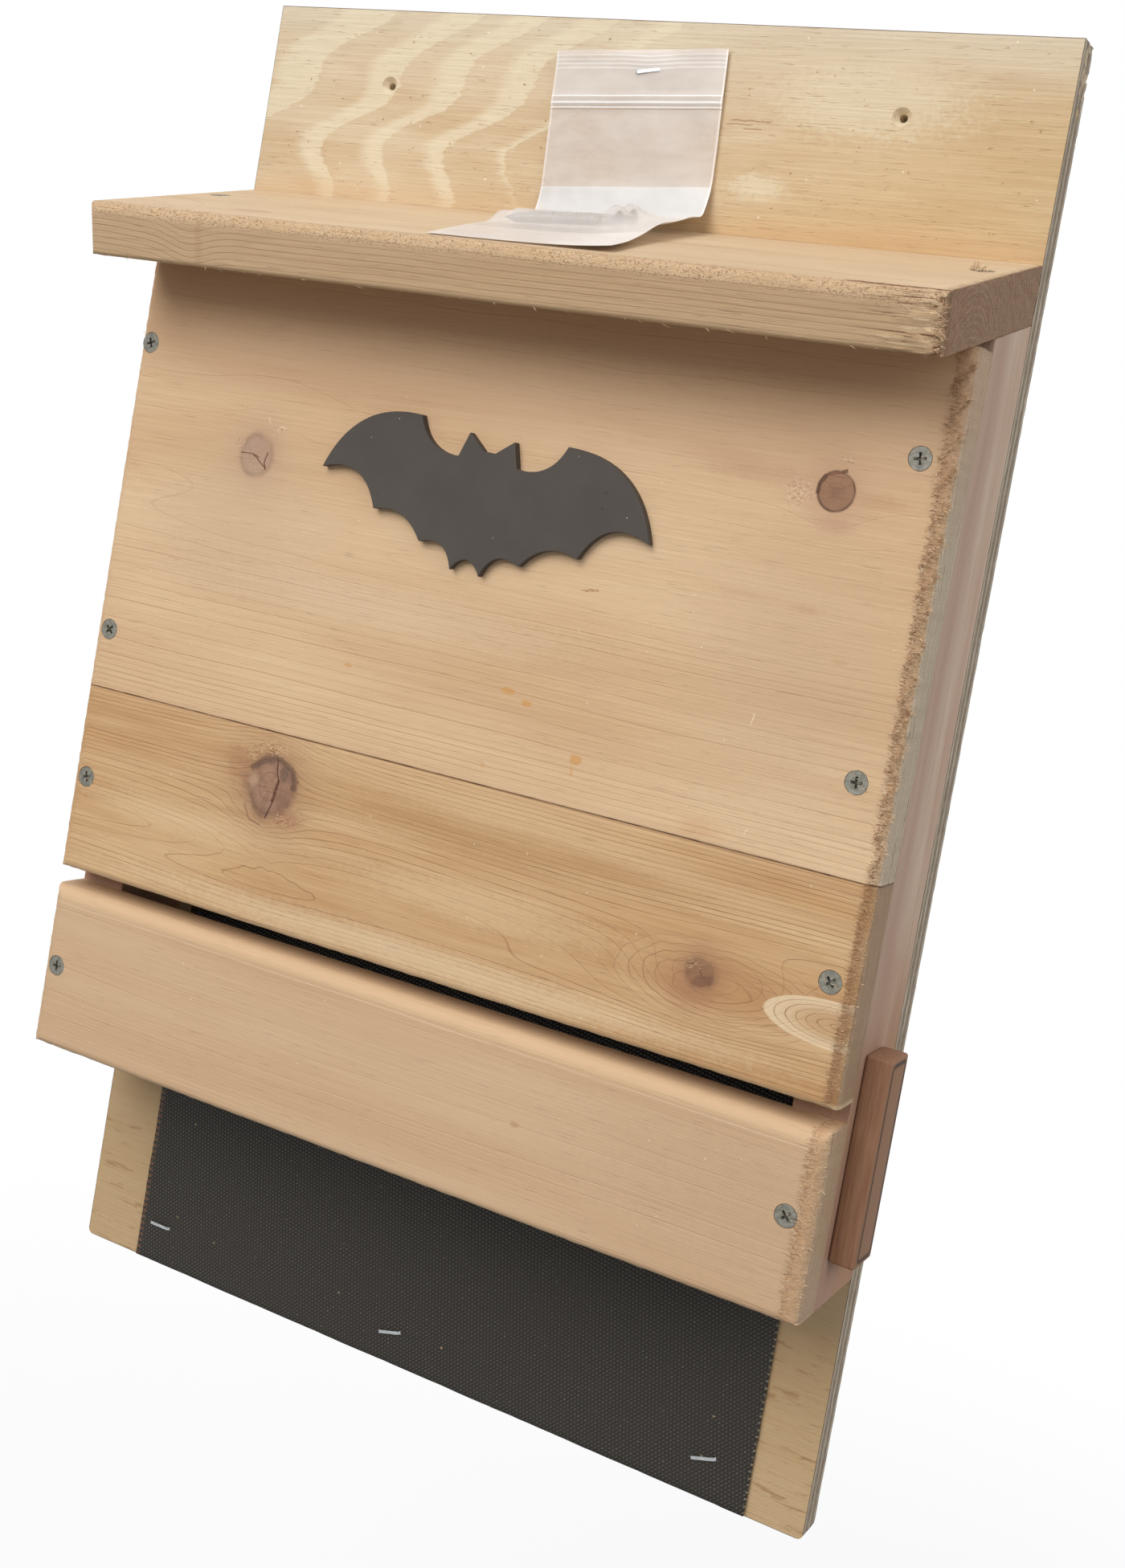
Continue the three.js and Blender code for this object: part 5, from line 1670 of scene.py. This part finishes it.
def add_fibres():
    """Torn fibres along the right ends of the boards, the roof's edges and a roof screw."""
    data = make_fibre_tree()
    tree, place = new_material("fibre_finish")
    colour = mix(step(clouds(place, 0.7), 0.3, 0.7), (176, 136, 98), (232, 206, 172))
    material = end_material(tree, colour, Roughness=0.8)

    def strand(name, slot, path, aim, count, spread, lengths, seed, lean, thick=0.13, pairs=False):
        edges = [(k, k + 1) for k in range(0, len(path) - 1, 2 if pairs else 1)]
        values = {
            "Count": count, "Spread": [value * MM for value in spread], "Shortest": lengths[0],
            "Longest": lengths[1], "Thickness": thick * MM, "Seed": seed, "Lean": lean, "Material": material,
        }
        settle(grow(name, data, path, [screw_turn(aim)] * len(path), edges, values), slot, [])

    for name, slot, box, count, border, seed, lengths, lean in (
        ("upper_board_fibres", "pale_cedar", UPPER, 1700, 170.6, 21, (0.8, 2.6), FRINGE_LEAN),
        ("lower_board_fibres", "yellow_cedar", LOWER, 150, 173.4, 22, (0.4, 1.2), 0.0),
        ("slat_fibres", "slat_cedar", SLAT, 220, 171.0, 23, (0.6, 2.4), 0.0),
    ):
        path = board_end_path(*box, border, lean)
        strand(name, slot, path, (0.8, -0.6, 0.2), count, (0.8, 0.2, 1.0), lengths, seed, (0.8, 0.8, 0.8))
    path = []
    for x, z in screw_places(FRONT_SCREWS):
        path += [(x - 4.4, FRONT_FACE + 0.1, z + 2.2), (x + 4.6, FRONT_FACE + 0.1, z + 0.4)]
    strand("screw_hole_fibres", "pale_cedar", path, (0.9, -0.4, -0.1), 5, (0.6, 0.15, 2.4), (1.0, 3.4), 24,
           (0.4, 0.4, 1.2), 0.14, pairs=True)
    path = [(x, PLY_FRONT - 0.5, -69.0 if k % 2 else -66.5) for k, x in enumerate(range(-170, 172, 10))]
    strand("joint_debris", "plywood", path, (0.9, -0.3, 0.3), 170, (4.0, 0.4, 1.6), (0.5, 2.2), 25,
           (1.2, 0.8, 1.5), 0.3)
    heights = [25, -40, 5, -55, 18, -20, -60, 0] * 6
    path = [(x, PLY_FRONT - 0.05, z) for x, z in zip(range(-172, 174, 8), heights)]
    strand("ply_chips", "plywood", path, (0.9, -0.4, 0.1), 220, (4.0, 0.05, 7.0), (0.4, 1.6), 26,
           (1.0, 0.5, 1.5), 0.22)
    edge = -ROOF_DEPTH + 0.8
    path = [roof_place(x, edge, up) for x, up in ((150, 17), (170, 16), (176, 11), (176, 3))]
    strand("roof_edge_fibres", "roof_cedar", path, (0.8, -0.6, 0.0), 120, (1.6, 0.5, 2.2), (0.8, 2.6), 31,
           (0.5, 0.9, 0.5))
    path = [
        roof_place(x, edge + 1.4 + 1.4 * (k % 2), ROOF_THICK - 1.6 + 0.8 * (k % 2))
        for k, x in enumerate(range(-170, 172, 10))
    ]
    strand("roof_edge_chips", "roof_cedar", path, (0.9, -0.3, 0.3), 420, (3.0, 1.6, 0.5), (0.3, 1.1), 34,
           (1.2, 0.8, 1.2), 0.24)
    path = [roof_place(x, edge, 0.6) for x in (-170, -60, 60, 170)]
    strand("roof_lower_splinters", "roof_cedar", path, (0.9, -0.3, -0.3), 46, (3.0, 0.5, 0.5), (1.0, 3.6), 32,
           (0.3, 0.5, 1.0))
    screw_x = middle("roof_screw_right")[0]
    path = [
        roof_place(screw_x - 5.0, -ROOF_SCREW_BACK, ROOF_THICK),
        roof_place(screw_x + 1.0, -ROOF_SCREW_BACK - 3, ROOF_THICK),
    ]
    strand("roof_screw_splinters", "roof_cedar", path, (0.4, -0.2, 0.9), 26, (2.0, 1.6, 0.2), (1.6, 4.6), 33,
           (0.7, 0.7, 0.7), 0.2)


# The mesh sheet and the bag

def grid_faces(columns, rows, start=0):
    """The faces of a grid of points that run row by row."""
    width = columns + 1
    corners = [start + j * width + i for j in range(rows) for i in range(columns)]
    return [(a, a + 1, a + width + 1, a + width) for a in corners]


def add_landing_mesh():
    """The woven sheet, stretched over the ply, a little wavy along its cut edges."""
    low, high = box_mm("landing_mesh")
    wide, tall = high[0] - low[0], high[2] - low[2]
    columns, rows = 100, 150
    level = middle("landing_mesh")[1] - 0.25
    points = []
    for j in range(rows + 1):
        for i in range(columns + 1):
            x = low[0] + wide * i / columns
            z = low[2] + tall * j / rows
            edge = min(x - low[0], high[0] - x, z - low[2])
            ripple = noise.noise((x * 0.05, z * 0.05, 4.0)) * math.exp(-edge / 12.0)
            if i in (0, columns):
                x += 0.25 * noise.noise((i, z * 0.35, 1.0))
            if j == 0:
                z += 0.25 * abs(noise.noise((x * 0.3, 8.0, 1.0)))
            points.append((x, level + 0.3 * ripple, z))
    piece = build_mesh("woven_landing_mesh", points, grid_faces(columns, rows), woven_mesh())
    thick = piece.modifiers.new("thickness", "SOLIDIFY")
    thick.thickness = 0.7 * MM
    thick.offset = 0.0
    settle(piece, "black_mesh", ["landing_mesh"])
    wide * MM
    tall * MM


def roof_over(x, y, height):
    """A place above the roof's top, by its x and y."""
    back_y, back_z = ROOF_TOP_BACK
    z = back_z + (y - back_y) * math.tan(ROOF_PITCH)
    return Vector((x, y, z)) + UP_ROOF * height


def bag_edges():
    """The bag's left and right edge from its mouth down the ply, round the bend and over the roof."""
    lefts = [Vector((x, BAG_WALL, z)) for x, z in (
        (-34.7, 17.8), (-34.2, 9.0), (-33.8, -1.0), (-33.0, -14.0), (-32.3, -27.0), (-31.8, -37.2),
    )]
    lefts += [Vector((-31.9, BAG_WALL - 1.0, -44.5)), roof_over(-32.2, -19.5, 1.6)]
    lefts += [roof_over(x, y, 0.5) for x, y in (
        (-32.6, -28.0), (-32.7, -41.0), (-31.2, -58.0), (-28.2, -78.0), (-24.8, -95.0), (-21.8, -108.1),
    )]
    rights = [Vector((x, BAG_WALL, z)) for x, z in (
        (40.9, 21.6), (41.4, 13.0), (42.0, 3.0), (42.8, -10.0), (43.5, -23.0),
    )]
    rights += [Vector((44.0, BAG_WALL - 0.6, -32.0)), Vector((44.3, -17.7, -41.0))]
    rights += [Vector((45.2, -22.4, -45.4))]
    rights += [roof_over(x, y, height) for x, y, height in (
        (46.0, -30.7, 6.7), (46.3, -42.7, 5.9), (47.0, -58.0, 5.8), (48.2, -73.7, 3.2), (51.0, -90.0, 2.0),
        (53.7, -106.7, 2.0),
    )]
    return lefts, rights


def spline(rows, place):
    """A smooth place between rows of vectors."""
    last = len(rows) - 1
    k = min(int(place), last - 1)
    share = place - k
    a, b, c, d = (rows[min(max(n, 0), last)] for n in (k - 1, k, k + 1, k + 2))
    line = b * 2 + (c - a) * share + (a * 2 - b * 5 + c * 4 - d) * share ** 2
    return (line + (b * 3 - c * 3 + d - a) * share ** 3) * 0.5


def hump(distance, width):
    """One at nought, falling away smoothly on both sides."""
    return math.exp(-((distance / width) ** 2))


def tent(spot, heads):
    """How high the top film stands over the loose screws."""
    best = 0.0
    for head in heads:
        dx, dy = spot.x - head.x, spot.y - head.y
        over_head = hump(dx + 1.5, 6.5) * hump(dy, 6.0) * 8.6
        inside = 1.0 if -LOOSE_LENGTH < dx < 0 else hump(min(abs(dx), abs(dx + LOOSE_LENGTH)), 6)
        best = max(best, over_head, inside * hump(dy, 4.5) * 5.0)
    return best


def zip_rise(run):
    """The zip's two ribs on the front film."""
    return hump(run - 18.6, 0.9) * 0.35 + hump(run - 20.8, 0.7) * 0.55


def laid(spot, share, lie):
    """Settles a place of the bag on to the roof, its right side standing further off."""
    over = (spot - roof_over(spot.x, spot.y, 0.0)).dot(UP_ROOF)
    raised_side = share ** 3
    wanted = 0.5 + (over - 0.5 * (1 - raised_side)) * raised_side
    return spot + UP_ROOF * (wanted - over) * lie


def film_lift(spot, share, run, film, row, rows, lie, heads):
    """How far one film of the bag stands off its flat place."""
    seal = min(min(share, 1 - share, (rows - row) / rows * 2) * 14.0, 1.0)
    ripple = noise.noise((spot.x * 0.06, spot.y * 0.06 + spot.z * 0.05, film * 3.0)) * 0.45
    ripple += noise.noise((spot.x * 0.2, spot.y * 0.05 + spot.z * 0.14, 6.0)) * 0.12
    if row < 6:
        ripple += 0.5 * math.sin(share * 9.0) * (6 - row) / 6
    lift = ripple * seal
    if film:
        lift += 0.15 + 0.5 * seal + tent(spot, heads) * lie * seal + zip_rise(run)
        lift += 2.6 * hump(share - 0.86, 0.07) * hump(spot.y + 45.0, 16.0) * lie
    return max(lift, -0.3)


def add_bag():
    """The zip bag: two films round the loose screws, sealed at the sides, wavy where it lies."""
    lefts, rights = bag_edges()
    columns, rows = 60, 130
    stations = [k * (len(lefts) - 1) / rows for k in range(rows + 1)]
    edges = [(spline(lefts, station), spline(rights, station)) for station in stations]
    centres = [(left + right) / 2 for left, right in edges]
    runs = [0.0]
    for a, b in zip(centres, centres[1:]):
        runs.append(runs[-1] + (b - a).length)
    heads = [head_place(node) for node in LOOSE_SCREWS]
    outward = Vector((0.0, -1.0, 0.0))
    points, flats = [], []
    for film in (0, 1):
        for row, ((left, right), run) in enumerate(zip(edges, runs)):
            lie = clamped((run - 60.0) / 14.0)
            lie = lie * lie * (3 - 2 * lie)
            normal = (outward * (1 - lie) + UP_ROOF * lie).normalized()
            for share in (column / columns for column in range(columns + 1)):
                spot = left.lerp(right, share)
                if lie > 0.0:
                    spot = laid(spot, share, lie)
                points.append(spot + normal * film_lift(spot, share, run, film, row, rows, lie, heads))
                flats.append((share, run / 100.0))
    per_film = (columns + 1) * (rows + 1)
    faces = grid_faces(columns, rows) + grid_faces(columns, rows, per_film)
    rim = [j * (columns + 1) + i for i, j in around(0, columns, 0, rows)]
    bridge(faces, rim, [k + per_film for k in rim])
    piece = build_mesh("zip_bag", points, faces, clear_film(), 60.0)
    layer = piece.data.uv_layers.new(name="flat")
    for loop in piece.data.loops:
        layer.data[loop.index].uv = flats[loop.vertex_index]
    settle(piece, "clear_film", ["hardware_bag"])


def main():
    bpy.context.scene.view_settings.view_transform = "Standard"
    add_camera()
    add_world()
    add_floor()
    add_lamp("high_soft_lamp", (-0.5, -2.2, 1.25), 57.0, (1.0, 0.993, 0.98))
    add_lamp("side_soft_lamp", (2.3, -0.8, 1.2), 25.0, (1.0, 0.99, 0.98))
    add_backboard()
    add_rails()
    add_front_boards()
    add_roof()
    add_bat()
    add_plaque()
    add_screws()
    add_staples()
    add_landing_mesh()
    add_bag()
    add_fibres()
    shown = [list(corner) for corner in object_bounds()]


main()
